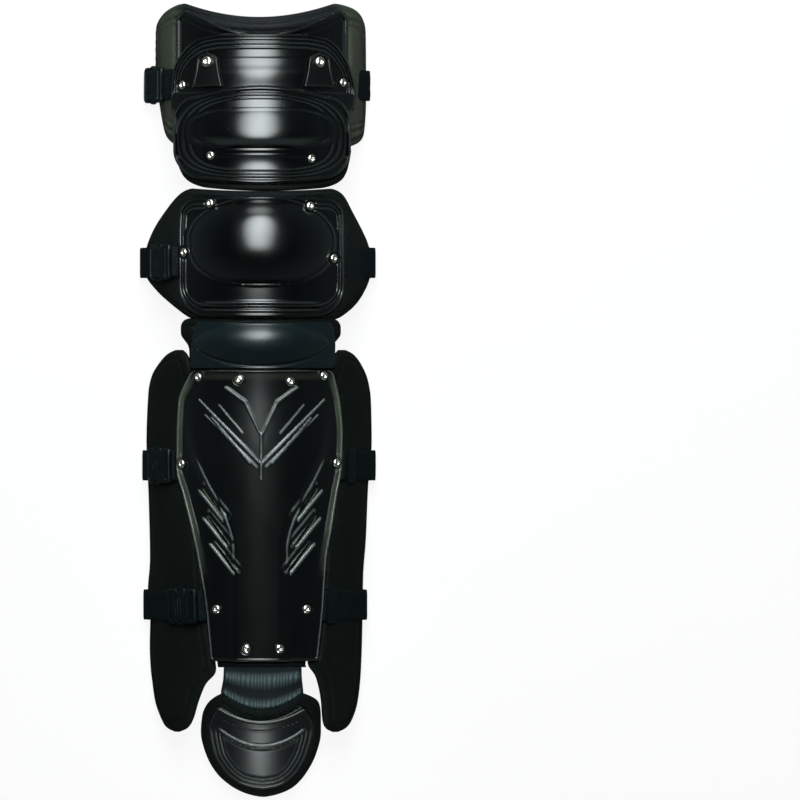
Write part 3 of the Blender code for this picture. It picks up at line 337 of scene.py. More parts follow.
def above(height, lift):
    """The height of the surface that stands off a form by lift, as a function of x and down."""

    def raised(x, down):
        return stand_off(height, x, down, lift_at(lift, x, down))[0][..., 2]

    return raised


class Patch:
    """A sheet on the form: u goes across it from -1 to 1, v down it from 0 to 1."""

    def __init__(
        self, rows, start, length, half_width,
        bows=(0.0, 0.0), height=leg_height, centre=0.0, corners=(0.0, 0.0),
    ):
        self.rows, self.start, self.length, self.half_width = rows, start, length, half_width
        self.bows, self.height, self.centre, self.corners = bows, height, centre, corners

    def sides(self, v):
        """The two sides, drawn in at each end by a quarter circle of the corner's radius."""
        left, right = np.moveaxis(read_rows(self.rows, v), -1, 0)
        drawn = 0.0
        for radius, run in zip(self.corners, (v * self.length, (1 - v) * self.length)):
            drawn = drawn + rounded(radius, run)
        return (self.centre - left * self.half_width + drawn, self.centre + right * self.half_width - drawn)

    def plan(self, u, v):
        """x runs straight between the sides, and down has each end's bow times 1 - u squared."""
        left, right = self.sides(v)
        x = (left + right) / 2 + (right - left) / 2 * u
        bow = (self.bows[0] * (1 - v) + self.bows[1] * v) * (1 - u * u)
        return x, self.start + v * self.length + bow

    def edge(self, down, side):
        left, right = self.sides((np.asarray(down) - self.start) / self.length)
        return right if side > 0 else left

    def depth_inside(self, x, down):
        """Roughly how far inside the outline a place is, seen from above: the least of its distances
        to the two sides and the two ends."""
        left, right = self.sides((down - self.start) / self.length)
        u = np.clip((x - self.centre) / self.half_width, -1, 1)
        top = down - self.start - self.bows[0] * (1 - u * u)
        foot = self.start + self.length + self.bows[1] * (1 - u * u) - down
        return np.minimum(np.minimum(x - left, right - x), np.minimum(top, foot))


class Wing(Patch):
    """A patch between an outer and an inner edge on one side of the shin."""

    def __init__(self, rows, side):
        super().__init__(rows, WING_START, WING_LENGTH, SHIN_HALF_WIDTH)
        self.side = side

    def sides(self, v):
        outer, inner = np.moveaxis(read_rows(self.rows, v), -1, 0) * self.half_width
        return (-outer, -inner) if self.side < 0 else (inner, outer)


class Liner(Patch):
    """The padding behind the shin plate. It lies between the wings, and overlaps their upper tips."""

    def sides(self, v):
        left, right = super().sides(v)
        share = (self.start + v * self.length - WING_START) / WING_LENGTH
        beside = share > -WING_GAP / WING_LENGTH
        gap = (WING_GAP + WING_OVERLAP) * ease((share - 0.04) / 0.04) - WING_OVERLAP
        left = np.where(beside, np.maximum(left, LEFT_WING.sides(share)[1] + gap), left)
        return left, np.where(beside, np.minimum(right, RIGHT_WING.sides(share)[0] - gap), right)


LEFT_WING = Wing(LEFT_WING_ROWS, -1)
RIGHT_WING = Wing(RIGHT_WING_ROWS, 1)
PLACES = {
    # name: start, length, half width, bows of its two ends, form, radii of its corners
    "thigh_pad": (0.0, THIGH_LENGTH, 0.0890, (0.013, 0.0), leg_height, (0.011, 0.014)),
    "upper_knee_pad": (
        KNEE_TOP_START - JOIN,
        KNEE_TOP_LENGTH + 2 * JOIN,
        0.0750,
        (0.0, 0.003),
        leg_height,
        (0.0, 0.010),
    ),
    "lower_knee_pad": (
        KNEE_START - JOIN,
        KNEE_LENGTH + 2 * JOIN,
        0.0962,
        (0.003, 0.001),
        leg_height,
        (0.004, 0.004),
    ),
    "ankle_gusset": (GUSSET_START, GUSSET_LENGTH, 0.0340, (0.0, 0.0134), gusset_height, (0.0, 0.0)),
    "toe_pad": (TOE_START, TOE_LENGTH, TOE_HALF_WIDTH, (0.0134, 0.001), toe_height, (0.004, 0.004)),
    "thigh_shell": (0.0060, 0.0860, 0.0722, (0.0205, 0.0), leg_height, (0.005, 0.0)),
    "arch_plate": (0.0273, 0.0610, 0.0773, (0.0, 0.0), leg_height, (0.004, 0.0)),
    "upper_knee_cup": (0.0782, 0.0721, 0.0740, (-0.0072, 0.0035), leg_height, (0.019, 0.026)),
    "lower_knee_cup": (KNEE_START + 0.0075, 0.1000, 0.0697, (0.0, 0.001), leg_height, (0.014, 0.023)),
    "shin_top_cup": (LINER_START + 0.0012, 0.0390, 0.0605, (0.001, 0.0), leg_height, (0.004, 0.003)),
    "shin_plate": (0.3086, 0.2440, 0.0701, (0.0, 0.0), leg_height, (0.004, 0.003)),
    "toe_shell": (TOE_START + 0.0125, 0.0700, 0.0445, (0.0115, 0.001), toe_height, (0.003, 0.004)),
}
PATCHES = {
    name: Patch(OUTLINES[name], *place, corners=corners) for name, (*place, corners) in PLACES.items()
}
PATCHES["shin_liner"] = Liner(
    OUTLINES["shin_liner"], LINER_START - LINER_RISE, LINER_LENGTH + LINER_GROWTH, 0.0672, (0.001, 0.0),
    corners=(0.008, 0.0),
)
PATCHES["left_shin_wing"] = LEFT_WING
PATCHES["right_shin_wing"] = RIGHT_WING
for side_name, tab_centre in (("left", -0.0425), ("right", 0.0518)):
    PATCHES[side_name + "_hinge_tab"] = Patch(
        OUTLINES["hinge_tab"],
        0.0437,
        0.0285,
        0.0108,
        (-0.0012, 0.0),
        centre=tab_centre,
        corners=(0.004, 0.0012),
    )


def dome(x, down, middle, half_width, half_length, rise):
    """A cap over an ellipse: the rise times 1 minus the distance in half sizes squared."""
    reach = shift_share(x, half_width) ** 2 + ((down - middle) / half_length) ** 2
    return rise * np.clip(1 - reach, 0, None)


def upper_cup_base(x, down):
    """The cup clears the arch plate at its top and comes down to the padding under it."""
    patch, high = PATCHES["upper_knee_cup"], ARCH_LIFT + SHELL_LIFT
    share = (down - patch.start) / patch.length
    return high + (SHELL_LIFT - high) * ease((share - 0.40) / 0.44)


def cup_lift(name, base, share, half_width, half_length, rise):
    """The lift of a cup with a plain dome on its base, at a share of its length."""
    patch = PATCHES[name]

    def lift(x, down):
        middle = patch.start + share * patch.length
        return lift_at(base, x, down) + dome(x, down, middle, half_width, half_length, rise)

    return lift


def shield_half(share):
    """Half the width of the shin plate's raised shield at a share of its length."""
    return PATCHES["shin_plate"].half_width * (0.32 + 0.52 * ease((0.62 - share) / 0.42))


def shin_plate_lift(x, down):
    """The plate's middle is a raised shield that narrows to a column down to the foot."""
    patch = PATCHES["shin_plate"]
    share = (down - patch.start) / patch.length
    inside = ease((shield_half(share) - np.abs(x)) / (0.16 * patch.half_width) + 0.5)
    return SHELL_LIFT + 0.003 * inside * ease((share - 0.02) / 0.30)


LIFTS = {
    "left_hinge_tab": TAB_LIFT,
    "right_hinge_tab": TAB_LIFT,
    "thigh_shell": SHELL_LIFT,
    "arch_plate": ARCH_LIFT,
    "upper_knee_cup": cup_lift("upper_knee_cup", upper_cup_base, 0.40, 0.0580, 0.0147, 0.0075),
    "lower_knee_cup": cup_lift("lower_knee_cup", SHELL_LIFT, 0.36, 0.0597, 0.0350, 0.0160),
    "shin_top_cup": cup_lift("shin_top_cup", SHELL_LIFT, 0.43, 0.0546, 0.0165, 0.0075),
    "shin_plate": shin_plate_lift,
    "toe_shell": SHELL_LIFT,
}


def frame_at(surface, x, down, gap=0.0, turn=0.0):
    """A matrix gap above a surface: Z is the normal and X runs along it to +X, turned about Z."""
    up = Vector(normal_of(surface, x, down))
    across = Vector((0, 1, 0)).cross(up).normalized()
    axes = Matrix((across, up.cross(across), up)).transposed() @ Matrix.Rotation(turn, 3, "Z")
    foot = Vector((x, GUARD_LENGTH / 2 - down, surface(x, down)))
    return Matrix.Translation(foot + gap * up) @ axes.to_4x4()


def moved(points, matrix):
    """An array of points carried by a 4x4 matrix."""
    matrix = np.array(matrix)
    return points @ matrix[:3, :3].T + matrix[:3, 3]


def grid_faces(rows, columns, first=0, wrap=False):
    """The quads of a grid of points, numbered row by row, facing up when rows go down and columns
    go right. wrap joins the last column to the first."""
    index = first + np.arange(rows * columns).reshape(rows, columns)
    if wrap:
        index = np.concatenate([index, index[:, :1]], 1)
    return np.stack([index[:-1, :-1], index[1:, :-1], index[1:, 1:], index[:-1, 1:]], -1).reshape(-1, 4)


def border(rows, columns):
    """The points round a grid's edge as (row, column), clockwise from the first."""
    across, along = np.arange(columns), np.arange(rows)
    return (
        np.concatenate([0 * across, along[1:], 0 * across[1:] + rows - 1, along[-2:0:-1]]),
        np.concatenate([across, 0 * along[1:] + columns - 1, across[-2::-1], 0 * along[1:-1]]),
    )


def tube_faces(rows, columns):
    """The quads of a tube whose last row joins its first."""
    faces = grid_faces(rows + 1, columns, 0, wrap=True)
    return [faces % (rows * columns)]


def enclosed(points, faces):
    """The faces, turned so that the volume inside them, a sum of tetrahedra, is positive."""
    volume = 0.0
    for part in faces:
        for k in range(1, part.shape[1] - 1):
            across = np.cross(points[part[:, k]], points[part[:, k + 1]])
            volume += np.einsum("ij,ij->", points[part[:, 0]], across)
    turn = 1 if volume > 0 else -1
    return [face for part in faces for face in part[:, ::turn].tolist()]


def add_piece(name, points, faces, material, uv=None, sharp=35, marks=None):
    """A mesh object at the origin that rides on the root. faces is a list of arrays of triangles or
    quads, and uv and marks hold a value for each point."""
    mesh = bpy.data.meshes.new(name)
    mesh.from_pydata(points, [], enclosed(points, faces))
    if uv is not None:
        corner = np.empty(len(mesh.loops), int)
        mesh.loops.foreach_get("vertex_index", corner)
        layer = mesh.uv_layers.new(name="UVMap")
        layer.data.foreach_set("uv", np.asarray(uv, np.float32)[corner].ravel())
    for key, values in (marks or {}).items():
        mesh.attributes.new(key, "FLOAT", "POINT").data.foreach_set("value", np.float32(values))
    mesh.validate()
    mesh.shade_smooth()
    mesh.set_sharp_from_angle(angle=math.radians(sharp))
    mesh.materials.append(material)
    made = bpy.data.objects.new(name, mesh)
    bpy.context.scene.collection.objects.link(made)
    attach(made, "root")
    return made


def read_points(mesh, key="co"):
    """The places of a mesh's points, or their normals, as an array."""
    values = np.empty(3 * len(mesh.vertices))
    mesh.vertices.foreach_get(key, values)
    return values.reshape(-1, 3)


def bridges(lines):
    """The quads between each closed line of points and the next."""
    return [
        np.stack([upper, np.roll(upper, -1), np.roll(lower, -1), lower], -1)
        for upper, lower in zip(lines[:-1], lines[1:])
    ]


def closed_sheet(outer, inner, rings=3, bulge=0.0006):
    """One closed surface from an outer and an inner grid. Between their edges run rings of points,
    straight from edge to edge plus an outward bulge times the sine of the share. Returns points,
    faces, and each point's row and column in the grids."""
    rows, columns = outer.shape[:2]
    r, c = border(rows, columns)
    near_r, near_c = np.clip(r, 1, rows - 2), np.clip(c, 1, columns - 2)
    out = unit(outer[r, c] - outer[near_r, near_c])
    points = [outer.reshape(-1, 3), inner.reshape(-1, 3)]
    count = rows * columns
    faces = [grid_faces(rows, columns), grid_faces(rows, columns, count)[:, ::-1]]
    lines = [r * columns + c]
    for ring in range(rings):
        share = (ring + 1) / (rings + 1)
        line = outer[r, c] * (1 - share) + inner[r, c] * share
        points.append(line + out * bulge * math.sin(math.pi * share))
        lines.append(2 * count + ring * len(r) + np.arange(len(r)))
    lines.append(count + r * columns + c)
    faces += bridges(lines)
    row = np.repeat(np.arange(rows), columns)
    column = np.tile(np.arange(columns), rows)
    row = np.concatenate([row, row, np.tile(r, rings)])
    column = np.concatenate([column, column, np.tile(c, rings)])
    return np.concatenate(points), faces, (row, column)


def lengths_along(points, axis):
    """Distance run along one axis of a line or a grid of points, from its first row or column."""
    step = np.linalg.norm(np.diff(points, axis=axis), axis=-1)
    run = np.cumsum(step, axis=axis)
    return np.concatenate([np.zeros_like(np.take(run, [0], axis)), run], axis)


def grid_uv(points):
    """UVs in metres: run across each row from its middle, and down each column."""
    across = lengths_along(points, 1)
    across = across - across[:, across.shape[1] // 2 : across.shape[1] // 2 + 1]
    return np.stack([across, lengths_along(points, 0)], -1)


def crowd(share, amount=0.35):
    """Shares from 0 to 1 drawn towards both ends: share - amount sin(2 pi share) / 2 pi."""
    return share - amount * np.sin(2 * math.pi * share) / (2 * math.pi)


def patch_grid(patch, cell, amount=0.35):
    """u and v of a grid over a patch, with cells of about this size that crowd towards its ends."""
    rows = max(4, round(patch.length / cell))
    columns = max(4, round(2.3 * patch.half_width / cell))
    if isinstance(patch, Wing):
        columns = max(4, round(0.5 * patch.half_width / cell))
    v = crowd(np.linspace(0, 1, rows + 1), max(amount, 0.8 if max(patch.corners) else 0))[:, None]
    u = 2 * crowd(np.linspace(0, 1, columns + 1), amount)[None, :] - 1
    return u + 0 * v, v + 0 * u


def rim_line(patch, count, inset=0.0, rounding=0.0):
    """count points evenly round a patch's outline as x and down: the outline is drawn in by inset
    along its own normal, and its corners are rounded by a running mean."""
    t, v = np.linspace(-1, 1, 200), crowd(np.linspace(0, 1, 400), 0.9)
    sides = [(t, 0 * t), (0 * v + 1, v), (-t, 0 * t + 1), (0 * v - 1, 1 - v)]
    loop = np.concatenate([np.stack(patch.plan(a, b), -1)[:-1] for a, b in sides])

    def even(loop, count):
        closed = np.concatenate([loop, loop[:1]])
        run = lengths_along(closed, 0)
        at = np.linspace(0, run[-1], count, endpoint=False)
        return np.stack([np.interp(at, run, closed[:, i]) for i in (0, 1)], -1), run[-1]

    loop, length = even(loop, 1600)
    if rounding:
        reach = max(1, round(rounding / length * 1600))
        window = np.hanning(2 * reach + 3)[1:-1]
        window /= window.sum()
        turns = [np.roll(loop, k - reach, axis=0) * w for k, w in enumerate(window)]
        loop = np.sum(turns, axis=0)
    along = unit(np.roll(loop, -1, axis=0) - np.roll(loop, 1, axis=0))
    loop = loop + inset * np.stack([-along[:, 1], along[:, 0]], -1)
    return even(loop, count)[0].T


def rim_distance(points, patch, height, lift=0.0):
    """The straight distance from each point to the nearest point of the patch's outline."""
    x, down = rim_line(patch, 700)
    rim = stand_off(height, x, down, lift_at(lift, x, down))[0]
    flat = points.reshape(-1, 3)
    nearest = [
        np.sqrt(((part[:, None] - rim[None]) ** 2).sum(-1).min(1))
        for part in np.array_split(flat, max(1, len(flat) // 4000))
    ]
    return np.concatenate(nearest).reshape(points.shape[:-1])


def superellipse(angle, power):
    """Points (cos, sin) of an angle with each raised to 2 / power: 2 is round and 8 nearly square."""
    c, s = np.cos(angle), np.sin(angle)
    return np.sign(c) * np.abs(c) ** (2 / power), np.sign(s) * np.abs(s) ** (2 / power)


def loft(stations, around, along):
    """A closed body along X. Each station is x, centre y, half width, half height and power, and its
    section is a superellipse. Sections between the stations follow one smooth curve through the
    table, and each end is closed by rings that shrink to its centre."""
    table = np.array(stations, float)
    at = np.arange(len(table))
    share = np.linspace(0, len(table) - 1, along * (len(table) - 1) + 1)
    rows = read_rows(np.column_stack([at, table]), share)
    ends = np.array([0.0, 0.5, 0.85])
    first = np.repeat(rows[:1], 3, 0)
    last = np.repeat(rows[-1:], 3, 0)
    first[:, 2:4] *= ends[:, None]
    last[:, 2:4] *= ends[::-1, None]
    rows = np.concatenate([first, rows, last])
    x, y, half_width, half_height, power = (rows[:, i : i + 1] for i in range(5))
    c, s = superellipse(circle(around)[None, :], power)
    return np.stack([x + 0 * c, y + half_width * c, half_height * s], -1)


def loft_mesh(points):
    """Points and faces of a loft whose first and last rows are single points."""
    rows, around = points.shape[:2]
    inner = points[1:-1].reshape(-1, 3)
    ring = np.arange(around)
    ahead, base, start = np.roll(ring, -1), (rows - 3) * around, len(inner)
    caps = [
        np.stack([0 * ring + start, ahead, ring], -1),
        np.stack([0 * ring + start + 1, base + ring, base + ahead], -1),
    ]
    faces = [grid_faces(rows - 2, around, 0, wrap=True)[:, ::-1], *caps]
    return np.concatenate([inner, points[:1, 0], points[-1:, 0]]), faces


def join_parts(parts):
    """Several points and faces as one: each part's faces are renumbered."""
    points, faces, count = [], [], 0
    for part, part_faces in parts:
        points.append(part)
        faces += [one + count for one in part_faces]
        count += len(part)
    return np.concatenate(points), faces


class Value:
    """A number in a material. Arithmetic on it adds Math nodes to the material."""

    def __init__(self, finish, socket):
        self.finish, self.socket = finish, socket

    def __add__(self, other):
        return self.finish.math("ADD", self, other)

    __radd__ = __add__

    def __mul__(self, other):
        return self.finish.math("MULTIPLY", self, other)

    __rmul__ = __mul__

    def __sub__(self, other):
        return self.finish.math("SUBTRACT", self, other)

    def __rsub__(self, other):
        return self.finish.math("SUBTRACT", other, self)

    def __truediv__(self, other):
        return self.finish.math("DIVIDE", self, other)

    def __pow__(self, other):
        return self.finish.math("POWER", self, other)


class Finish:
    """A material of shader nodes."""

    def __init__(self, name, **shader):
        self.material = bpy.data.materials.new(name)
        self.material.use_nodes = True
        self.tree = self.material.node_tree
        self.shader = self.tree.nodes["Principled BSDF"]
        for key, value in shader.items():
            self.shader.inputs[key.replace("_", " ").title().replace("Ior", "IOR")].default_value = value

    def feed(self, socket, value):
        if isinstance(value, Value):
            self.tree.links.new(value.socket, socket)
        else:
            socket.default_value = value

    def node(self, kind, settings=None, inputs=None, output=0):
        """A node of any type: its settings are set first, then its inputs, by name or number."""
        made = self.tree.nodes.new("ShaderNode" + kind)
        for key, value in (settings or {}).items():
            if key == "stops":
                ramp = made.color_ramp
                while len(ramp.elements) < len(value):
                    ramp.elements.new(0.5)
                for element, (place, colour) in zip(ramp.elements, value):
                    element.position = place
                    element.color = (*colour, 1.0)
            else:
                setattr(made, key, value)
        for key, value in (inputs or {}).items():
            self.feed(made.inputs[key], value)
        return Value(self, made.outputs[output])

    def math(self, operation, *values, clamp=False):
        settings = {"operation": operation, "use_clamp": clamp}
        return self.node("Math", settings, dict(enumerate(values)))

    def coordinates(self, scale=(1, 1, 1), source="Object", turn=0.0):
        """Object coordinates, or the piece's own UVs, times a scale and turned about Z."""
        place = self.node("TexCoord", output=source)
        return self.node("Mapping", inputs={"Vector": place, "Scale": scale, "Rotation": (0, 0, turn)})

    def noise(self, place, scale, detail=2.0, roughness=0.5):
        inputs = {"Vector": place, "Scale": scale, "Detail": detail, "Roughness": roughness}
        return self.node("TexNoise", None, inputs)

    def cells(self, place, scale, feature="F1"):
        return self.node("TexVoronoi", {"feature": feature}, {"Vector": place, "Scale": scale})

    def level(self, value, low, high, to_low=0.0, to_high=1.0):
        """value carried from low..high to to_low..to_high, and held there outside."""
        inputs = {"Value": value, "From Min": low, "From Max": high, "To Min": to_low, "To Max": to_high}
        return self.node("MapRange", {"clamp": True}, inputs)

    def mix(self, share, one, other, blend="MIX"):
        settings = {"data_type": "RGBA", "blend_type": blend}
        colours = [value if isinstance(value, Value) else (*value, 1.0) for value in (one, other)]
        return self.node("Mix", settings, {0: share, 6: colours[0], 7: colours[1]}, 2)

    def mark(self, name):
        """A value that the mesh holds for each point."""
        return self.node("Attribute", {"attribute_name": name}, output="Fac")

    def axis(self, number, source="Object"):
        """One of the coordinates, by its number."""
        return self.node("SeparateXYZ", None, {0: self.node("TexCoord", output=source)}, number)

    def mottled(self, share, colour, factor):
        """A colour that goes to a factor times itself with the share."""
        return self.mix(share, colour, tinted(colour, factor))

    def wire(self, colour, roughness, height=None, strength=0.5, distance=0.0005):
        """Feeds the shader: colour and roughness, and a bump of the height."""
        self.feed(self.shader.inputs["Base Color"], colour)
        self.feed(self.shader.inputs["Roughness"], roughness)
        if height is not None:
            bump = self.node("Bump", None, {"Strength": strength, "Distance": distance, "Height": height})
            self.feed(self.shader.inputs["Normal"], bump)
        return self.material


def made_once(make):
    """A finish is made the first time that it is asked for."""
    kept = {}

    def get(*key):
        if key not in kept:
            kept[key] = make(*key)
        return kept[key]

    return get


def tinted(colour, factor):
    """A colour times a factor."""
    return tuple(c * factor for c in colour)


@made_once
def shell_plastic(name, roughness, rubbed=0.5):
    """Moulded black plastic: fine moulding ripple, a few hairline scratches, and raised edges painted
    lighter, partly as wear from rubbing and partly as a painted highlight along the ridges."""
    look = bpy.context.scene.guard_colours
    finish = Finish("shell_" + name, specular_ior_level=0.38)
    place = finish.coordinates()
    cloud = finish.noise(place, 34.0, 4.0, 0.6)
    grain = finish.noise(place, 1500.0, 2.0, 0.6)
    smear = finish.noise(finish.coordinates((3, 1, 2)), 16.0, 3.0, 0.6)
    scratch = finish.level(finish.noise(finish.coordinates((900, 26, 300), turn=0.5), 1.0, 2.0), 0.70, 0.74)
    mark = finish.level(finish.noise(place, 25.0, 2.0), 0.5, 0.62)
    scratch = scratch * mark
    rim, edge = finish.mark("rim"), finish.mark("edge")
    wear = finish.level(rim, 0.0, 0.0022, 1.0, 0.0) * finish.level(cloud, 0.42, 0.62)
    base = look.toe if name == "toe" else look.shell
    colour = finish.mottled(cloud, base, 1.5)
    colour = finish.mix(wear * 0.3, colour, (0.012, 0.014, 0.014))
    colour = finish.mix(scratch * 0.25, colour, (0.015, 0.017, 0.017))
    # Raised crests, found by the edge mark, are painted lighter: partly wear from rubbing, partly a painted
    # highlight along the ridges.
    colour = finish.mix(edge * rubbed, colour, look.rubbed)
    if name == "shin":
        # On the shin the crests of the V blades and the vent lips are painted paler still: mostly a painted
        # highlight, partly wear.
        pale = edge * finish.level(cloud, 0.3, 0.6, 0.4, 1.0)
        colour = finish.mix(pale, colour, tinted(look.rubbed, 3.4))
        # Painted reflection: an olive band along the side flanges, just inside the rim and fading out towards
        # both ends, stands in for the flanges reflecting lighter surroundings.
        along_y = finish.axis(1)
        band = finish.level(rim, 0.0030, 0.0088, 0.8, 0.0) * finish.level(cloud, 0.3, 0.6, 0.6, 1.0)
        band = band * finish.level(along_y, -0.150, -0.100) * finish.level(along_y, 0.0235, 0.010)
        colour = finish.mix(band, colour, tinted(look.bolster, 2.0))
    rough = finish.level(smear, 0.3, 0.7, roughness - 0.02, roughness + 0.03) + scratch * 0.1 + wear * 0.1
    height = grain * 0.2 + cloud * 0.2 - scratch * 0.5
    return finish.wire(colour, rough, height, 0.12, 0.0002)


@made_once
def cup_rubber():
    """Blue-black rubbery plastic: softer sheen and a fine stipple."""
    look = bpy.context.scene.guard_colours
    finish = Finish("cup_rubber", specular_ior_level=0.36)
    place = finish.coordinates()
    cloud = finish.noise(place, 28.0, 3.0, 0.6)
    stipple = finish.noise(place, 1100.0, 2.0, 0.5)
    colour = finish.mottled(cloud, look.rubber, 1.6)
    return finish.wire(colour, finish.level(cloud, 0.3, 0.7, 0.28, 0.36), stipple + cloud * 0.4, 0.25, 0.0002)


@made_once
def pad_leather(name):
    """Synthetic leather: pebbled cells with creases between them, painted darker in the creases as shade, and
    lighter in patches from rubbing.
    """
    look = bpy.context.scene.guard_colours
    base = {"pad": look.leather, "bolster": look.bolster}[name]
    finish = Finish("leather_" + name, specular_ior_level=0.05)
    place = finish.coordinates()
    warp = finish.noise(place, 90.0, 2.0)
    pebble = finish.cells(place, 950.0, "SMOOTH_F1")
    crease = finish.cells(place, 420.0, "DISTANCE_TO_EDGE")
    cloud = finish.noise(place, 22.0, 4.0, 0.6)
    if name == "bolster":
        aside = finish.level(finish.math("ABSOLUTE", finish.axis(0)), 0.062, 0.072)
        base_colour = finish.mix(aside, look.band, base)
        colour = finish.mix(cloud * 0.12, base_colour, tinted(base, 1.3))
    else:
        colour = finish.mix(cloud, tinted(base, 0.75), tinted(base, 1.35))
    # Painted shade: the creases between the pebbles are darkened.
    colour = finish.mix(finish.level(crease, 0.0, 0.12, 0.5, 0.0), colour, tinted(base, 0.4))
    rough = finish.level(cloud, 0.3, 0.7, 0.46, 0.6) + pebble * 0.06
    height = finish.level(crease, 0.0, 0.16) * 0.6 - pebble * 0.5 + warp * 0.3
    return finish.wire(colour, rough, height, 0.35, 0.00035)


@made_once
def mesh_fabric():
    """Knitted spacer mesh: rows of small open holes, on the piece's own UVs."""
    look = bpy.context.scene.guard_colours
    finish = Finish("mesh_fabric", specular_ior_level=0.06)
    place = finish.coordinates((420, 420, 420), "UV", math.radians(45))
    inputs = {"Vector": place, "Scale": 1.0, "Randomness": 0.12}
    weave = finish.node("TexVoronoi", {"voronoi_dimensions": "2D"}, inputs)
    hole = finish.level(weave, 0.18, 0.36, 1.0, 0.0)
    fibre = finish.noise(finish.coordinates((3000, 900, 1), "UV"), 1.0, 2.0)
    cloud = finish.noise(finish.coordinates(), 18.0, 3.0)
    colour = finish.mottled(cloud, look.mesh, 1.8)
    # Painted shade: the open holes are darkened, as shade inside them.
    colour = finish.mix(hole, colour, tinted(look.mesh, 0.25))
    return finish.wire(colour, 0.78, fibre * 0.2 - hole, 0.6, 0.0004)


@made_once
def bound_tape():
    """Woven binding tape: fine diagonal ribs across its run."""
    look = bpy.context.scene.guard_colours
    finish = Finish("binding_tape", specular_ior_level=0.08)
    place = finish.coordinates(source="UV")
    inputs = {"Vector": place, "Scale": 260.0, "Distortion": 0.6, "Detail": 1.0, "Detail Scale": 2.0}
    rib = finish.node("TexWave", {"wave_type": "BANDS", "bands_direction": "DIAGONAL"}, inputs, 1)
    fuzz = finish.noise(finish.coordinates(), 1400.0, 2.0)
    cloud = finish.noise(finish.coordinates(), 30.0, 3.0)
    colour = finish.mottled(cloud, look.binding, 2.0)
    # Painted highlight: the raised ribs are painted lighter.
    colour = finish.mix(rib * 0.35, colour, tinted(look.binding, 2.6))
    return finish.wire(colour, finish.level(cloud, 0.3, 0.7, 0.55, 0.7), rib + fuzz * 0.4, 0.45, 0.0003)


@made_once
def strap_webbing():
    """Flat webbing on UVs in metres: warp ribs along it, a weft that crosses them over and under."""
    look = bpy.context.scene.guard_colours
    finish = Finish("strap_webbing", specular_ior_level=0.08)
    across, along = finish.axis(0, "UV"), finish.axis(1, "UV")
    warp = finish.math("SINE", across * (2 * math.pi / 0.0016))
    weft = finish.math("SINE", along * (2 * math.pi / 0.0011))
    knit = finish.level(warp * weft, -1.0, 1.0)
    rib = finish.level(finish.math("SINE", across * (2 * math.pi / 0.0032)), -1.0, 1.0)
    fuzz = finish.noise(finish.coordinates(), 1300.0, 2.0)
    cloud = finish.noise(finish.coordinates(), 26.0, 3.0)
    colour = finish.mottled(cloud, look.webbing, 2.1)
    # Painted shade: the weave is darker where it dips, at the low points of the knit.
    colour = finish.mix(knit * 0.6, tinted(look.webbing, 0.5), colour)
    height = knit + rib * 0.5 + fuzz * 0.3
    return finish.wire(colour, finish.level(cloud, 0.3, 0.7, 0.6, 0.74), height, 0.6, 0.00035)


@made_once
def buckle_plastic():
    """Satin buckle plastic with a spark-eroded texture."""
    look = bpy.context.scene.guard_colours
    finish = Finish("buckle_plastic", specular_ior_level=0.16)
    place = finish.coordinates()
    grain = finish.noise(place, 1900.0, 3.0, 0.6)
    cloud = finish.noise(place, 60.0, 3.0)
    colour = finish.mottled(cloud, look.buckle, 1.8)
    return finish.wire(colour, finish.level(cloud, 0.3, 0.7, 0.34, 0.46), grain + cloud * 0.4, 0.22, 0.0002)


@made_once
def rivet_nickel():
    """Nickel plate: bright, with fine turning marks and grime that gathers low on the head."""
    look = bpy.context.scene.guard_colours
    finish = Finish("rivet_nickel", metallic=1.0)
    place = finish.coordinates()
    cloud = finish.noise(place, 260.0, 3.0, 0.6)
    tarnish = finish.noise(place, 900.0, 3.0, 0.65)
    grime = finish.level(finish.mark("rim"), 0.0, 1.0) * finish.level(tarnish, 0.35, 0.65)
    colour = finish.mottled(cloud, look.metal, 0.82)
    colour = finish.mix(grime * 0.75, colour, (0.12, 0.105, 0.085))
    rough = finish.level(cloud, 0.3, 0.7, 0.16, 0.3) + grime * 0.3
    return finish.wire(colour, rough, cloud + tarnish * 0.3, 0.12, 0.0002)


@made_once
def gusset_cloth():
    """Elastic cloth: fine ribs along its stretch, with a painted highlight where the gathers stand up."""
    look = bpy.context.scene.guard_colours
    finish = Finish("gusset_cloth", specular_ior_level=0.12)
    rib = finish.math("SINE", finish.axis(0, "UV") * 9000.0)
    fuzz = finish.noise(finish.coordinates(), 900.0, 2.0)
    # Painted highlight: the cloth is painted up to nine times lighter where the gathered bands stand up.
    colour = finish.mottled(finish.mark("gather"), look.gusset, 9.0)
    return finish.wire(colour, 0.62, finish.level(rib, -1.0, 1.0) + fuzz * 0.5, 0.45, 0.0003)


@made_once
def stitch_thread():
    """Twisted black thread with a slight sheen."""
    look = bpy.context.scene.guard_colours
    finish = Finish("stitch_thread", specular_ior_level=0.5)
    twist = finish.noise(finish.coordinates(), 2600.0, 1.0)
    colour = finish.mottled(twist, look.thread, 1.8)
    return finish.wire(colour, 0.5, twist, 0.4, 0.0002)


def length(name, text, default, **more):
    return FloatProperty(name=name, description=text, default=default, unit="LENGTH", **more)


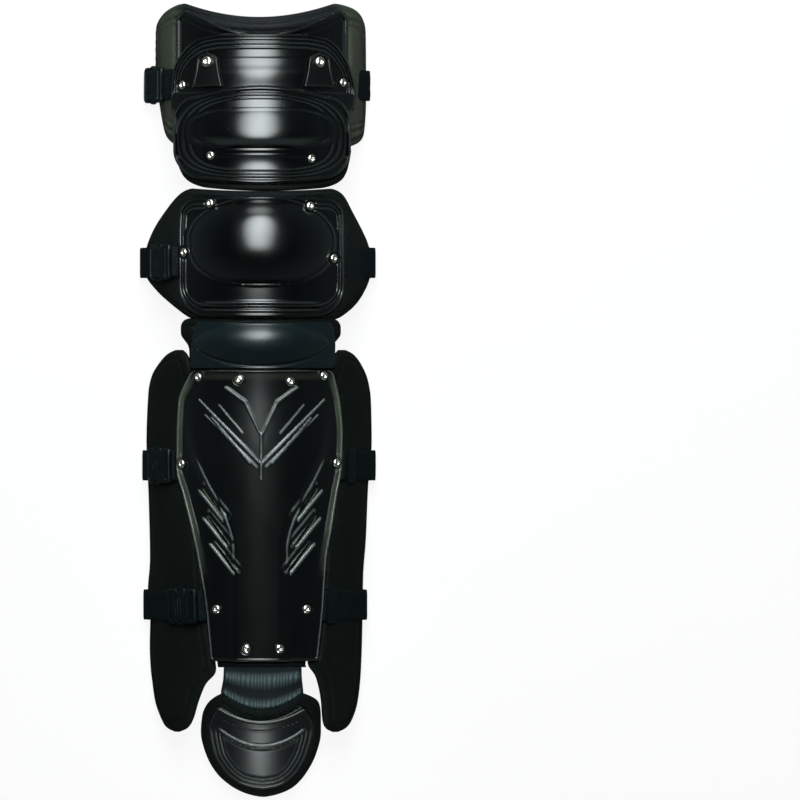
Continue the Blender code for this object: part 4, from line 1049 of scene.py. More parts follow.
class GuardSizes(bpy.types.PropertyGroup):
    """Sizes of the leg guard's details."""

    plate_cell: length("Plate cell", "Grid cell of a moulded plate", 0.00062, min=0.0004)
    pad_cell: length("Pad cell", "Grid cell of a pad before it is filled", 0.0046)
    rim_bead: length("Rim bead", "Height of the rolled bead round a plate", 0.0011)
    ridge: length("Ridge", "Height of a plate's concentric ridges", 0.0008)
    chevron: length("Chevron", "Height of the shin plate's V ribs", 0.0016)
    binding_width: length("Binding width", "Width of the bound edge of a pad", 0.0066)
    binding_depth: length("Binding depth", "Thickness of the bound edge of a pad", 0.0056)
    pad_crown: length("Pad crown", "How far the padding swells beside a plate", 0.0022)
    stitch_pitch: length("Stitch pitch", "Distance from one stitch to the next", 0.0034)
    fill_steps: IntProperty(name="Fill steps", description="Steps of the filling", default=20, min=1)
    camera_height: length("Camera height", "Height of the camera over the floor", 7.0)


def colour_property(name, text, default):
    settings = {"subtype": "COLOR", "size": 3, "min": 0, "max": 1}
    return FloatVectorProperty(name=name, description=text, default=default, **settings)


class GuardColours(bpy.types.PropertyGroup):
    """Colours of the leg guard's finishes."""

    shell: colour_property("Shell", "Moulded plates", (0.0003, 0.0006, 0.0006))
    # Edge colour of the plates: partly wear, partly a painted highlight on the ridges.
    rubbed: colour_property("Rubbed", "Rubbed edges of the plates", (0.0300, 0.0350, 0.0340))
    rubber: colour_property("Rubber", "Rubbery cup under the knee", (0.0016, 0.0038, 0.0046))
    toe: colour_property("Toe", "Shell over the toe", (0.0016, 0.0022, 0.0023))
    leather: colour_property("Leather", "Cover of the wings", (0.0030, 0.0043, 0.0036))
    bolster: colour_property("Bolster", "Cover of the thigh padding", (0.0290, 0.0340, 0.0250))
    band: colour_property("Band", "Dark cover at the thigh end", (0.0052, 0.0056, 0.0080))
    mesh: colour_property("Mesh", "Knitted cover of the knee padding", (0.0028, 0.0042, 0.0040))
    binding: colour_property("Binding", "Tape round the pads", (0.0012, 0.0018, 0.0016))
    webbing: colour_property("Webbing", "Straps", (0.0012, 0.0034, 0.0040))
    buckle: colour_property("Buckle", "Buckles and strap loops", (0.0009, 0.0022, 0.0024))
    gusset: colour_property("Gusset", "Elastic cloth at the ankle", (0.0075, 0.0105, 0.0112))
    thread: colour_property("Thread", "Stitches", (0.0035, 0.0045, 0.0042))
    metal: colour_property("Metal", "Rivets", (0.88, 0.85, 0.78))


def covered(x, down, plates):
    """How far under the nearest of these plates a place is: negative outside them all."""
    return np.max([PATCHES[name].depth_inside(x, down) for name in plates], axis=0)


# Pads: plates over it, finish, full thickness, and how wide its rounded edge is
PADS = {
    "thigh_pad": (("thigh_shell",), "bolster", PAD_THICKNESS, 0.009),
    "upper_knee_pad": (("upper_knee_cup",), "pad", PAD_THICKNESS, 0.007),
    "lower_knee_pad": (("lower_knee_cup",), "mesh", PAD_THICKNESS, 0.009),
    "shin_liner": (("shin_top_cup", "shin_plate"), "pad", PAD_THICKNESS, 0.007),
    "left_shin_wing": (("shin_plate",), "pad", PAD_THICKNESS, 0.012),
    "right_shin_wing": (("shin_plate",), "pad", PAD_THICKNESS, 0.012),
    "toe_pad": (("toe_shell",), "mesh", TOE_PAD_THICKNESS, 0.008),
}
# Half the height of a pad's rim, how far its front sinks under a plate, and how far its back is held in
PAD_RIM = 0.0016
PAD_SINK = 0.0016
PAD_BACK_INSET = 0.0008
# How much of the swell a point needs to be free in the filling, and how far a free point may move
FREE_SWELL = 0.35
RIM_TRAVEL = 0.0004
FREE_TRAVEL = 0.0016
# Sewn lines of a pad: distance from its rim, half width, and depth, negative where it swells instead
PLAIN_SEAMS = ((0.0088, 0.0016, 0.0007),)
WING_SEAMS = ((0.0092, 0.0018, 0.0009),)
SEAMS = {
    "left_shin_wing": WING_SEAMS,
    "right_shin_wing": WING_SEAMS,
    "thigh_pad": (
        (0.0076, 0.0018, 0.0012), (0.0108, 0.0028, -0.0010), (0.0142, 0.0014, 0.0011),
        (0.0168, 0.0016, -0.0006), (0.0192, 0.0014, 0.0008),
    ),
}
# Settings of the cloth that fills the pads: its pressure pushes outward against its stiffness
FILLING = {
    "quality": 6,
    "mass": 0.25,
    "use_pressure": True,
    "uniform_pressure_force": 4.0,
    "vertex_group_mass": "held",
    "tension_stiffness": 12.0,
    "compression_stiffness": 8.0,
    "shear_stiffness": 6.0,
    "bending_stiffness": 0.6,
}


def pad_shape(name, sizes):
    """A pad before it is filled. Its outer and inner faces stand off its middle layer by half its
    thickness times the root of 1 - (1 - d / edge) squared, d from the rim, and the outer face
    swells by the crown where no plate covers it."""
    plates, _, thickness, edge = PADS[name]
    patch = PATCHES[name]
    x, down = patch.plan(*patch_grid(patch, sizes.pad_cell, 0.2))
    middle = -thickness / 2
    base = stand_off(patch.height, x, down, middle)[0]
    distance = rim_distance(base, patch, patch.height, middle)
    share = np.clip(distance / edge, 0, 1)
    swell = np.sqrt(1 - (1 - share) ** 2)
    hidden = ease((covered(x, down, plates) + 0.002) / 0.005)
    crown = sizes.pad_crown * (1 - hidden) - PAD_SINK * hidden
    top = middle + PAD_RIM + (thickness / 2 - PAD_RIM + crown) * swell
    foot = middle - PAD_RIM - (thickness / 2 - PAD_RIM - PAD_BACK_INSET) * swell
    outer = stand_off(patch.height, x, down, top)[0]
    inner = stand_off(patch.height, x, down, foot)[0]
    return outer, inner, hidden, swell


def fill_pads(pads, steps):
    """Fills every pad at once: cloth with pressure inside and its rim held, stepped from the first
    frame to the last."""
    scene = bpy.context.scene
    for pad, held, _ in pads:
        group = pad.vertex_groups.new(name="held")
        for index in np.nonzero(held > 0.02)[0]:
            group.add([int(index)], float(held[index]), "REPLACE")
        cloth = pad.modifiers.new("fill", "CLOTH")
        for key, value in FILLING.items():
            setattr(cloth.settings, key, value)
        cloth.settings.effector_weights.gravity = 0.0
        cloth.point_cache.frame_start = 1
        cloth.point_cache.frame_end = steps
    for step in range(1, steps + 1):
        scene.frame_set(step)
    graph = bpy.context.evaluated_depsgraph_get()
    filled = {}
    for pad, _, _ in pads:
        filled[pad.name] = read_points(pad.evaluated_get(graph).to_mesh())
        pad.evaluated_get(graph).to_mesh_clear()
    for pad, _, cap in pads:
        pad.modifiers.clear()
        pad.vertex_groups.clear()
        start = read_points(pad.data)
        step = filled[pad.name] - start
        size = np.linalg.norm(step, axis=1, keepdims=True)
        limit = np.asarray(cap)[:, None]
        step *= limit * np.tanh(size / limit) / np.maximum(size, 1e-9)
        pad.data.vertices.foreach_set("co", (start + step).ravel())
    scene.frame_set(1)


def apply_modifiers(piece):
    """Puts the piece's modifiers into its mesh, which keeps its name."""
    graph = bpy.context.evaluated_depsgraph_get()
    seen = piece.evaluated_get(graph)
    mesh = bpy.data.meshes.new_from_object(seen, preserve_all_data_layers=True, depsgraph=graph)
    piece.modifiers.clear()
    old, piece.data = piece.data, mesh
    name = old.name
    bpy.data.meshes.remove(old)
    mesh.name = name


def subdivide(piece, levels):
    finer = piece.modifiers.new("finer", "SUBSURF")
    finer.levels = finer.render_levels = levels
    apply_modifiers(piece)
    piece.data.shade_smooth()


def press_seams(piece, patch, lines, thickness):
    """Sewn channels: each point sinks along its normal by depth times a ridge of its distance from
    the rim about the seam's, and fine puckers run across the seam. What rests on the floor is flat."""
    mesh = piece.data
    points, normals = read_points(mesh), read_points(mesh, "normal")
    distance = rim_distance(points, patch, patch.height, -thickness / 2)
    run = points[:, 1] * 900 + points[:, 0] * 700
    sink = 0
    for at, half, depth in lines:
        line = ridge(distance, at, half)
        sink = sink + depth * line + 0.00012 * np.sin(run) * ridge(distance, at, 2 * half)
    points = points - normals * sink[:, None]
    points[:, 2] = np.maximum(points[:, 2], FLOOR_CLEARANCE)
    mesh.vertices.foreach_set("co", points.ravel())
    mesh.update()


class GUARD_OT_padding(bpy.types.Operator):
    """Build the pads behind the plates and fill them by simulation"""

    bl_idname = "guard.padding"
    bl_label = "Padding"

    def execute(self, context):
        sizes = context.scene.guard_sizes
        pads = []
        for name, (_, finish, _, _) in PADS.items():
            outer, inner, hidden, swell = pad_shape(name, sizes)
            points, faces, (row, column) = closed_sheet(outer, inner, 1, 0.0)
            uv = grid_uv(outer)[row, column]
            material = mesh_fabric() if finish == "mesh" else pad_leather(finish)
            made = add_piece(name + "_cover", points, faces, material, uv=uv, sharp=180)
            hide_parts(name)
            free = swell[row, column]
            held = np.where(free < FREE_SWELL, 1.0, 0.0)
            cap = RIM_TRAVEL + FREE_TRAVEL * free * (1 - hidden[row, column])
            pads.append((made, held, cap))
        fill_pads(pads, sizes.fill_steps)
        for made, _, _ in pads:
            subdivide(made, 2)
            name = made.name.replace("_cover", "")
            press_seams(made, PATCHES[name], SEAMS.get(name, PLAIN_SEAMS), PADS[name][2])
        return {"FINISHED"}


def swept_rim(patch, width, depth, lift, cell=0.0016):
    """A closed tube round a patch's outline. Its section is a superellipse of the width and depth
    with a dent where the tape is sewn, carried along the outline on the form's normals."""
    count = round(2 * (patch.length + 2 * patch.half_width) / cell)
    x, down = rim_line(patch, count, width * 0.5, 0.007)
    middle, normal = stand_off(patch.height, x, down, lift)
    along = unit(np.roll(middle, -1, axis=0) - np.roll(middle, 1, axis=0))
    out = unit(np.cross(along, normal))
    up = np.cross(out, along)
    turns = 22
    c, s = superellipse(circle(turns), 2.6)
    across = -c * width / 2
    rise = s * depth / 2 - 0.0005 * ridge(c, -0.45, 0.3) * np.sign(s)
    if (out @ np.array([0, 0, 1])).mean() > 0:
        across = -across
    points = middle[:, None] + across[None, :, None] * -out[:, None] + rise[None, :, None] * up[:, None]
    run = lengths_along(middle, 0)
    uv = np.stack(np.broadcast_arrays(run[:, None], (np.arange(turns) * width * 2 / turns)[None, :]), -1)
    return points, uv


class GUARD_OT_bindings(bpy.types.Operator):
    """Bind the edges of the pads with tape"""

    bl_idname = "guard.bindings"
    bl_label = "Bound edges"

    def execute(self, context):
        sizes = context.scene.guard_sizes
        for name, (_, _, thickness, _) in PADS.items():
            patch = PATCHES[name]
            points, uv = swept_rim(patch, sizes.binding_width, sizes.binding_depth, -thickness / 2)
            faces = tube_faces(*points.shape[:2])
            points, uv = points.reshape(-1, 3), uv.reshape(-1, 2)
            made = add_piece(name + "_binding", points, faces, bound_tape(), uv=uv)
        return {"FINISHED"}


class GUARD_OT_gusset(bpy.types.Operator):
    """Build the gathered cloth between the shin and the toe"""

    bl_idname = "guard.gusset"
    bl_label = "Ankle gusset"

    def execute(self, context):
        patch = PATCHES["ankle_gusset"]
        v = np.linspace(-0.14, 1.10, 100)[:, None]
        u = np.linspace(-1, 1, 170)[None, :]
        x, down = patch.plan(u + 0 * v, v + 0 * u)
        share = v + 0 * u
        bands = ridge(share, 0.36, 0.26) + ridge(share, 1.02, 0.25)
        gather = 0.5 + 0.5 * np.sin(x * 2 * math.pi / 0.0031 + 2.2 * np.sin(x * 310) + share * 2.5)
        lift = -0.0012 + 0.0022 * bands + 0.0009 * bands * gather - 0.0005 * ridge(share, 0.7, 0.16)
        inside = ease((1 - np.abs(u + 0 * v)) / 0.08)
        inside = inside * ease((1.08 - share) / 0.10)
        lift = lift * inside - 0.0018 * (1 - inside)
        outer = stand_off(patch.height, x, down, lift)[0]
        inner = stand_off(patch.height, x, down, -0.0038)[0]
        points, faces, (row, column) = closed_sheet(outer, inner, 2, 0.0004)
        made = add_piece(
            "ankle_gusset_cloth",
            points,
            faces,
            gusset_cloth(),
            uv=grid_uv(outer)[row, column],
            # This mark carries the painted highlight: high where the bands and their pleats stand up.
            marks={"gather": (bands * (0.35 + 0.65 * gather) * inside)[row, column]},
            sharp=80,
        )
        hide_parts("ankle_gusset")
        return {"FINISHED"}


def rivet_places(name):
    """The x and the place down of each rivet in a plate."""
    patch = PATCHES[name]
    return [
        (patch.centre + across * patch.half_width, patch.start + at * patch.length)
        for _, across, at in RIVETS.get(name, ())
    ]


def rivet_size(name):
    return TAB_RIVET_RADIUS if name.endswith("tab") else RIVET_RADIUS


def rivet_seats(name, x, down):
    """The seats round a plate's rivets: a shallow ring just outside each head."""
    sink = np.zeros_like(x)
    for rivet_x, rivet_down in rivet_places(name):
        far = np.hypot(x - rivet_x, down - rivet_down)
        sink = sink - 0.0004 * ridge(far, rivet_size(name) + 0.0007, 0.0011)
    return sink


def near_rivets(name, x, down, reach=0.0062):
    """1 close to a rivet of this plate and 0 away from them all."""
    near = np.zeros_like(x)
    for rivet_x, rivet_down in rivet_places(name):
        near = np.maximum(near, ease((reach - np.hypot(x - rivet_x, down - rivet_down)) / 0.002))
    return near


# Shares of the way in from a plate's rim to its middle, for the rings of its plain inner face
INNER_RINGS = (0.0, 0.015, 0.05, 0.11, 0.19, 0.29, 0.41, 0.55, 0.70, 0.85)


def plate_mesh(name, relief, cell, lift=None):
    """A plate as one closed surface: points, faces and two marks for each point, its distance from the
    rim and how sharp an edge it stands on. The outer face is a fine grid that stands off by the lift
    plus the relief, a function of x, down and the distance from the rim, and falls away over a
    rounded edge. An edge is what stands over the mean of the places two millimetres away. The inner
    face is plain: rings that shrink towards its middle."""
    patch = PATCHES[name]
    lift = LIFTS[name] if lift is None else lift
    thickness = TAB_THICKNESS if name.endswith("tab") else SHELL_THICKNESS
    u, v = patch_grid(patch, cell)
    x, down = patch.plan(u, v)
    middle = stand_off(patch.height, x, down, lift_at(lift, x, down))[0]
    distance = rim_distance(middle, patch, patch.height, lift)
    fall = rounded(SHELL_EDGE_RADIUS, distance)
    raised = relief(x, down, distance) * (1 - near_rivets(name, x, down)) - fall
    reach = max(1, round(0.0018 / cell))
    wide = np.pad(raised, reach, mode="edge")
    rows, columns = raised.shape
    around = [
        wide[reach + a : reach + a + rows, reach + b : reach + b + columns]
        for a, b in ((-reach, 0), (reach, 0), (0, -reach), (0, reach))
    ]
    edge = np.clip((raised - sum(around) / 4 - 0.00008) / 0.0003, 0, 1)
    extra = raised + rivet_seats(name, x, down)
    outer = stand_off(patch.height, x, down, lift_at(lift, x, down) + extra)[0]

    def inner(u, v):
        ring_x, ring_down = patch.plan(u, v)
        return stand_off(patch.height, ring_x, ring_down, lift_at(lift, ring_x, ring_down) - thickness)[0]

    r, c = border(rows, columns)
    rings = [inner(u[r, c] * (1 - share), 0.5 + (v[r, c] - 0.5) * (1 - share)) for share in INNER_RINGS]
    centre = inner(np.zeros(1), np.full(1, 0.5))
    count = rows * columns
    lines = [r * columns + c] + [count + k * len(r) + np.arange(len(r)) for k in range(len(rings))]
    faces = [grid_faces(rows, columns)] + bridges(lines)
    last = lines[-1]
    faces.append(np.stack([last, np.roll(last, -1), 0 * last + count + len(rings) * len(r)], -1))
    points = np.concatenate([outer.reshape(-1, 3), *rings, centre])
    rest = np.zeros(len(points) - count)
    return points, faces, {
        "rim": np.concatenate([distance.ravel(), rest]),
        "edge": np.concatenate([edge.ravel(), rest]),
    }


def make_plate(name, relief, material, cell=None, lift=None):
    """A plate as one closed mesh, in place of its plain solid."""
    sizes = bpy.context.scene.guard_sizes
    points, faces, marks = plate_mesh(name, relief, cell or sizes.plate_cell, lift)
    made = add_piece(name + "_moulding", points, faces, material, marks=marks, sharp=60)
    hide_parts(name)
    return made


class GUARD_OT_thigh_plates(bpy.types.Operator):
    """Build the thigh shell, the arch plate over it and the two hinge tabs"""

    bl_idname = "guard.thigh_plates"
    bl_label = "Thigh plates"

    def execute(self, context):
        sizes = context.scene.guard_sizes

        def thigh_relief(x, down, d):
            """A wide rolled rim and one ridge inside it."""
            bead = sizes.rim_bead * 1.3 * ridge(d, 0.0026, 0.0026)
            return bead + 0.5 * sizes.ridge * ridge(d, 0.0078, 0.0018)

        def arch_relief(x, down, d):
            """Three ridges round the shoulders, and a ridge across the middle that it falls away from."""
            shoulders = ease((0.0835 - down) / 0.012)
            rings = sum(ridge(d, at, 0.0014) for at in (0.0046, 0.0082, 0.0118))
            wide = ridge(x - PLATE_SHIFT, 0, 0.062)
            swell = 0.0014 * ease((down - 0.0520) / 0.0080) * wide
            trough = 0.055 * np.clip(down - 0.0320, 0, 0.0200) + 0.0026 * ease((down - 0.0595) / 0.018)
            trough = trough * wide + ridge(down, 0.0487, 0.0020) * ridge(x - PLATE_SHIFT, 0, 0.046) * 0.0005
            bead = sizes.rim_bead * ridge(d, 0.0016, 0.0016)
            return (bead + sizes.ridge * rings) * shoulders + swell - trough

        def tab_relief(x, down, d):
            return 0.0005 * ridge(d, 0.0014, 0.0012)

        make_plate("thigh_shell", thigh_relief, shell_plastic("thigh", 0.25, 0.3))
        make_plate("arch_plate", arch_relief, shell_plastic("arch", 0.22, 0.3))
        for side in ("left", "right"):
            make_plate(side + "_hinge_tab", tab_relief, shell_plastic("tab", 0.36, 0.1), cell=0.0006)
        return {"FINISHED"}


class GUARD_OT_knee_cups(bpy.types.Operator):
    """Build the two hard knee cups and the rubbery cup under them"""

    bl_idname = "guard.knee_cups"
    bl_label = "Knee cups"

    def execute(self, context):
        sizes = context.scene.guard_sizes
        upper, lower, third = (PATCHES[n] for n in ("upper_knee_cup", "lower_knee_cup", "shin_top_cup"))

        def reach(x, down, middle, half_width, half_length, power):
            """Distance from a dome's middle in half sizes, squared off by the power."""
            a = np.abs(shift_share(x, half_width)) ** power
            b = np.abs((down - middle) / half_length) ** power
            return (a + b) ** (1 / power)

        def upper_relief(x, down, d):
            """A flat-topped dome with a lip, steps above it, lines under it and ridges at the sides."""
            middle = upper.start + 0.395 * upper.length
            across = np.abs(shift_share(x, 0.0585)) ** 2.4
            r = across + np.abs((down - middle) / 0.0162) ** np.where(down < middle, 3.4, 5.0)
            high = 0.0028 + 0.09 * (down - middle)
            dome_rise = high * np.clip(1 - r**1.4, 0, None) + 0.0008 * ridge(r, 1.0, 0.24)
            bowed = down + 0.0055 * (1 - shift_share(x, 0.074) ** 2) * ease((middle - down) / 0.02)
            centre = upper.start + 0.49 * upper.length
            ring = reach(x, bowed, centre, 0.0770, np.where(bowed < centre, 0.0345, 0.0372), 3.0)
            steps = sizes.ridge * sum(ridge(ring, at, 0.028) for at in (0.77, 0.84, 0.91))
            steps = steps * ease((r - 1.12) / 0.30) * ease((d - 0.0042) / 0.0015)
            bead = sizes.rim_bead * 1.3 * ridge(d, 0.0024, 0.0024)
            foot = upper.start + upper.length
            lines = -0.0007 * ridge(down, foot - 0.0262, 0.0012) - 0.0006 * ridge(down, foot - 0.0232, 0.0011)
            lines = lines * ease((0.050 - np.abs(x - PLATE_SHIFT)) / 0.010)
            return dome_rise + steps + bead + lines

        def lower_relief(x, down, d):
            """A high oval dome with a raised line round its foot, and ridges beside it and under it."""
            middle = lower.start + 0.36 * lower.length
            length = np.where(down > middle, 0.0370, 0.0350)
            r = reach(x, down, middle, 0.0600, length, np.where(down > middle, 2.5, 2.05))
            dome_rise = 0.0153 * np.clip(1 - r**3.0, 0, None)
            line = 0.0011 * ridge(r, 1.02, 0.034)
            sides = sum(ridge(d, at, 0.0016) for at in (0.0022, 0.0058, 0.0094))
            sides = sizes.ridge * sides * ease((r - 1.05) / 0.06)
            peak = ridge(x - PLATE_SHIFT, 0, 0.021) * ridge(down, lower.start + 0.0022, 0.0030)
            sides = sides + 0.0012 * peak
            low = 0.0014 * ridge(down, lower.start + 0.885 * lower.length, 0.0024)
            low = low - 0.0010 * ridge(down, lower.start + 0.925 * lower.length, 0.0014)
            return dome_rise + line + sides + low * ease((0.055 - np.abs(x - PLATE_SHIFT)) / 0.012)

        def third_relief(x, down, d):
            """An eye-shaped swelling that ends in a crease under it."""
            middle = third.start + 0.43 * third.length
            across = np.clip(1 - shift_share(x, 0.0560) ** 2, 0, None)
            half = np.where(down > middle, 0.0190, 0.0150) * across**0.6 + 0.0004
            r = np.abs(down - middle) / half
            swell = 0.0074 * np.clip(1 - r**2.2, 0, None) * across**0.5
            crease = -0.0016 * ridge(r, 1.06, 0.12) * (down > middle) * across**0.3
            brow = 0.0006 * ridge(r, 1.0, 0.12) * (down < middle) * across**0.3
            return swell + crease + brow

        make_plate("upper_knee_cup", upper_relief, shell_plastic("upper_cup", 0.22, 0.3), lift=upper_cup_base)
        make_plate("lower_knee_cup", lower_relief, shell_plastic("lower_cup", 0.22, 0.3), lift=SHELL_LIFT)
        make_plate("shin_top_cup", third_relief, cup_rubber(), lift=SHELL_LIFT)
        return {"FINISHED"}


# Blades of the V relief on the left half of the shin plate: x from the axis and place down of its
# two ends, half width at each end, and its share of the height. Each is mirrored to the right.
BLADE_ROWS = (
    (-0.0521, 0.3335, 0.0000, 0.3872, 0.0010, 0.0010, 0.8),
    (-0.0412, 0.3486, -0.0092, 0.3864, 0.0008, 0.0009, 0.6),
    (-0.0470, 0.3460, -0.0040, 0.3895, 0.0007, 0.0009, 0.4),
    (-0.0353, 0.3377, -0.0160, 0.3612, 0.0008, 0.0008, 0.4),
    (-0.0294, 0.3234, -0.0134, 0.3352, 0.0020, 0.0016, 1.1),
    (-0.0134, 0.3352, -0.0010, 0.3615, 0.0013, 0.0007, 0.7),
)
BLADE_AXIS = 0.0031


def blades(x, down):
    """The V relief: each blade is a roof whose height falls off in a straight line from its ridge to
    its half width, which changes along the blade."""
    across = -np.abs(x - BLADE_AXIS)
    rise = np.zeros_like(x)
    for x0, d0, x1, d1, w0, w1, share in BLADE_ROWS:
        step = np.array([x1 - x0, d1 - d0])
        t = ((across - x0) * step[0] + (down - d0) * step[1]) / (step @ step)
        held = np.clip(t, 0, 1)
        far = np.hypot(across - x0 - held * step[0], down - d0 - held * step[1])
        half = w0 + (w1 - w0) * held
        rise = np.maximum(rise, share * np.clip(1 - far / half, 0, None))
    stem = np.clip(1 - np.abs(x - BLADE_AXIS) / 0.0009, 0, None) * ease((down - 0.3600) / 0.003)
    return np.maximum(rise, stem * ease((0.4010 - down) / 0.002) * 0.8)


def cut_out(piece, cutter):
    """Takes the cutter out of the piece."""
    change = piece.modifiers.new("cut", "BOOLEAN")
    change.operation, change.object, change.solver = "DIFFERENCE", cutter, "EXACT"
    apply_modifiers(piece)
    bpy.data.objects.remove(cutter)


class GUARD_OT_shin_plate(bpy.types.Operator):
    """Build the shin plate with its shield, V relief and louvre vents"""

    bl_idname = "guard.shin_plate"
    bl_label = "Shin plate"

    def execute(self, context):
        sizes = context.scene.guard_sizes
        patch = PATCHES["shin_plate"]
        vents = [
            (side, side * share * patch.half_width, patch.start + at * patch.length)
            for at, *shares in VENT_ROWS
            for side, share in zip((-1, 1), shares)
        ]

        def relief(x, down, d):
            """The V blades, the shield's edge lines, the flanges' steps and a lip under each vent."""
            share = (down - patch.start) / patch.length
            line = ridge(np.abs(x - 0.002) - shield_half(share), 0.0, 0.0017)
            line = line * ease((share - 0.28) / 0.08) * ease((0.72 - share) / 0.12)
            flange = 0.0008 * ease((0.0086 - d) / 0.0024) * ease((share - 0.05) / 0.08)
            flange = flange * ease((0.64 - share) / 0.10)
            bead = sizes.rim_bead * 0.6 * ridge(d, 0.0014, 0.0014)
            lips = 0
            for side, vent_x, vent_down in vents:
                c, s = math.cos(VENT_LEAN), math.sin(VENT_LEAN) * side
                along = (x - vent_x) * c - (down - vent_down) * s
                off = (x - vent_x) * s + (down - vent_down) * c
                ends = ease((VENT_LENGTH / 2 + 0.001 - np.abs(along)) / 0.003)
                lip = 0.0013 * ridge(off, 0.0029, 0.0015) - 0.0009 * ridge(off, -0.0034, 0.0028)
                lips = lips + ends * lip
            return sizes.chevron * blades(x, down) + 0.0006 * line + flange + bead + lips

        plate = make_plate("shin_plate", relief, shell_plastic("shin", 0.31, 1.0), cell=0.00068)
        parts = []
        surface = above(patch.height, shin_plate_lift)
        for side, vent_x, vent_down in vents:
            place = frame_at(surface, vent_x, vent_down, 0.0, side * VENT_LEAN)
            c, s = superellipse(circle(32), 3.0)
            ring = np.stack([c * VENT_LENGTH / 2, s * VENT_OPENING / 2, 0 * c], -1)
            points = np.concatenate([ring + (0, 0, VENT_CUT_DEPTH), ring - (0, 0, VENT_CUT_DEPTH)])
            count = len(ring)
            top = np.arange(count)
            walls = np.stack([top, count + top, count + np.roll(top, -1), np.roll(top, -1)], -1)
            parts.append((moved(points, place), [walls, top[None], count + top[None, ::-1]]))
        points, faces = join_parts(parts)
        mesh = bpy.data.meshes.new("vent_cutter")
        mesh.from_pydata(points, [], enclosed(points, faces))
        cutter = bpy.data.objects.new("vent_cutter", mesh)
        context.scene.collection.objects.link(cutter)
        cut_out(plate, cutter)
        return {"FINISHED"}


def toe_arc(x, bow):
    """A parabola across the toe shell that sags by bow in the middle."""
    return bow * (1 - shift_share(x, TOE_ARC_HALF_WIDTH) ** 2)


class GUARD_OT_toe_shell(bpy.types.Operator):
    """Build the toe shell with its welts"""

    bl_idname = "guard.toe_shell"
    bl_label = "Toe shell"

    def execute(self, context):
        sizes = context.scene.guard_sizes
        patch = PATCHES["toe_shell"]

        def relief(x, down, d):
            """A welt at the top, a sharp bowed rib under it, and three rings round the rim."""
            top = down - 0.5895 - toe_arc(x, 0.0130)
            rib = down - 0.6085 - toe_arc(x, 0.0165)
            inside = ease((TOE_ARC_HALF_WIDTH - np.abs(x - PLATE_SHIFT)) / 0.006)
            welt = 0.0009 * ridge(top, 0.0026, 0.0016)
            sharp = 0.0019 * ridge(rib, 0, 0.0021) * inside
            rings = sum(ridge(d, at, 0.0013) for at in (0.0020, 0.0062, 0.0100))
            low = ease((down - 0.606) / 0.012)
            field = 0.0016 * ease((d - 0.0105) / 0.004) * ease((rib - 0.0008) / 0.003)
            return welt + sharp + sizes.ridge * rings * low + field

        make_plate("toe_shell", relief, shell_plastic("toe", 0.38, 0.9), cell=0.0007)
        return {"FINISHED"}


class GUARD_OT_rivets(bpy.types.Operator):
    """Set the rivets in the plates"""

    bl_idname = "guard.rivets"
    bl_label = "Rivets"

    def execute(self, context):
        profile = np.array(RIVET_PROFILE)
        turns = 36
        angle = circle(turns)
        for plate, rows in RIVETS.items():
            patch, size = PATCHES[plate], rivet_size(plate)
            radius, height = profile[:, :1] * size, profile[:, 1:] * (size / RIVET_RADIUS)
            points = np.stack([radius * np.cos(angle), radius * np.sin(angle), height + 0 * angle], -1)
            surface = above(patch.height, LIFTS[plate])
            grime = np.repeat(np.clip(1 - profile[1:-1, 1] / 0.0012, 0, 1), turns)
            marks = {"rim": np.concatenate([grime, [1, 1]])}
            for (label, _, _), (x, down) in zip(rows, rivet_places(plate)):
                placed, faces = loft_mesh(moved(points, frame_at(surface, x, down, RIVET_GAP)))
                metal = rivet_nickel()
                made = add_piece("nickel_rivet_" + label, placed, faces, metal, marks=marks, sharp=50)
                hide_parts("rivet_" + label)
        return {"FINISHED"}


def smooth_route(points, count):
    """count points evenly along the Catmull-Rom curve through these points."""
    points = np.asarray(points, float)
    ends = [2 * points[0] - points[1], *points, 2 * points[-1] - points[-2]]
    before, start, stop, after = (np.array(ends[i : len(points) - 1 + i]) for i in range(4))
    t = np.linspace(0, 1, 24, endpoint=False)[:, None, None]
    fine = 0.5 * (
        2 * start
        + (stop - before) * t
        + (2 * before - 5 * start + 4 * stop - after) * t**2
        + (3 * start - before - 3 * stop + after) * t**3
    )
    fine = np.concatenate([fine.transpose(1, 0, 2).reshape(-1, points.shape[1]), points[-1:]])
    length = lengths_along(fine, 0)
    wanted = np.linspace(0, length[-1], count)
    return np.stack([np.interp(wanted, length, column) for column in fine.T], -1)


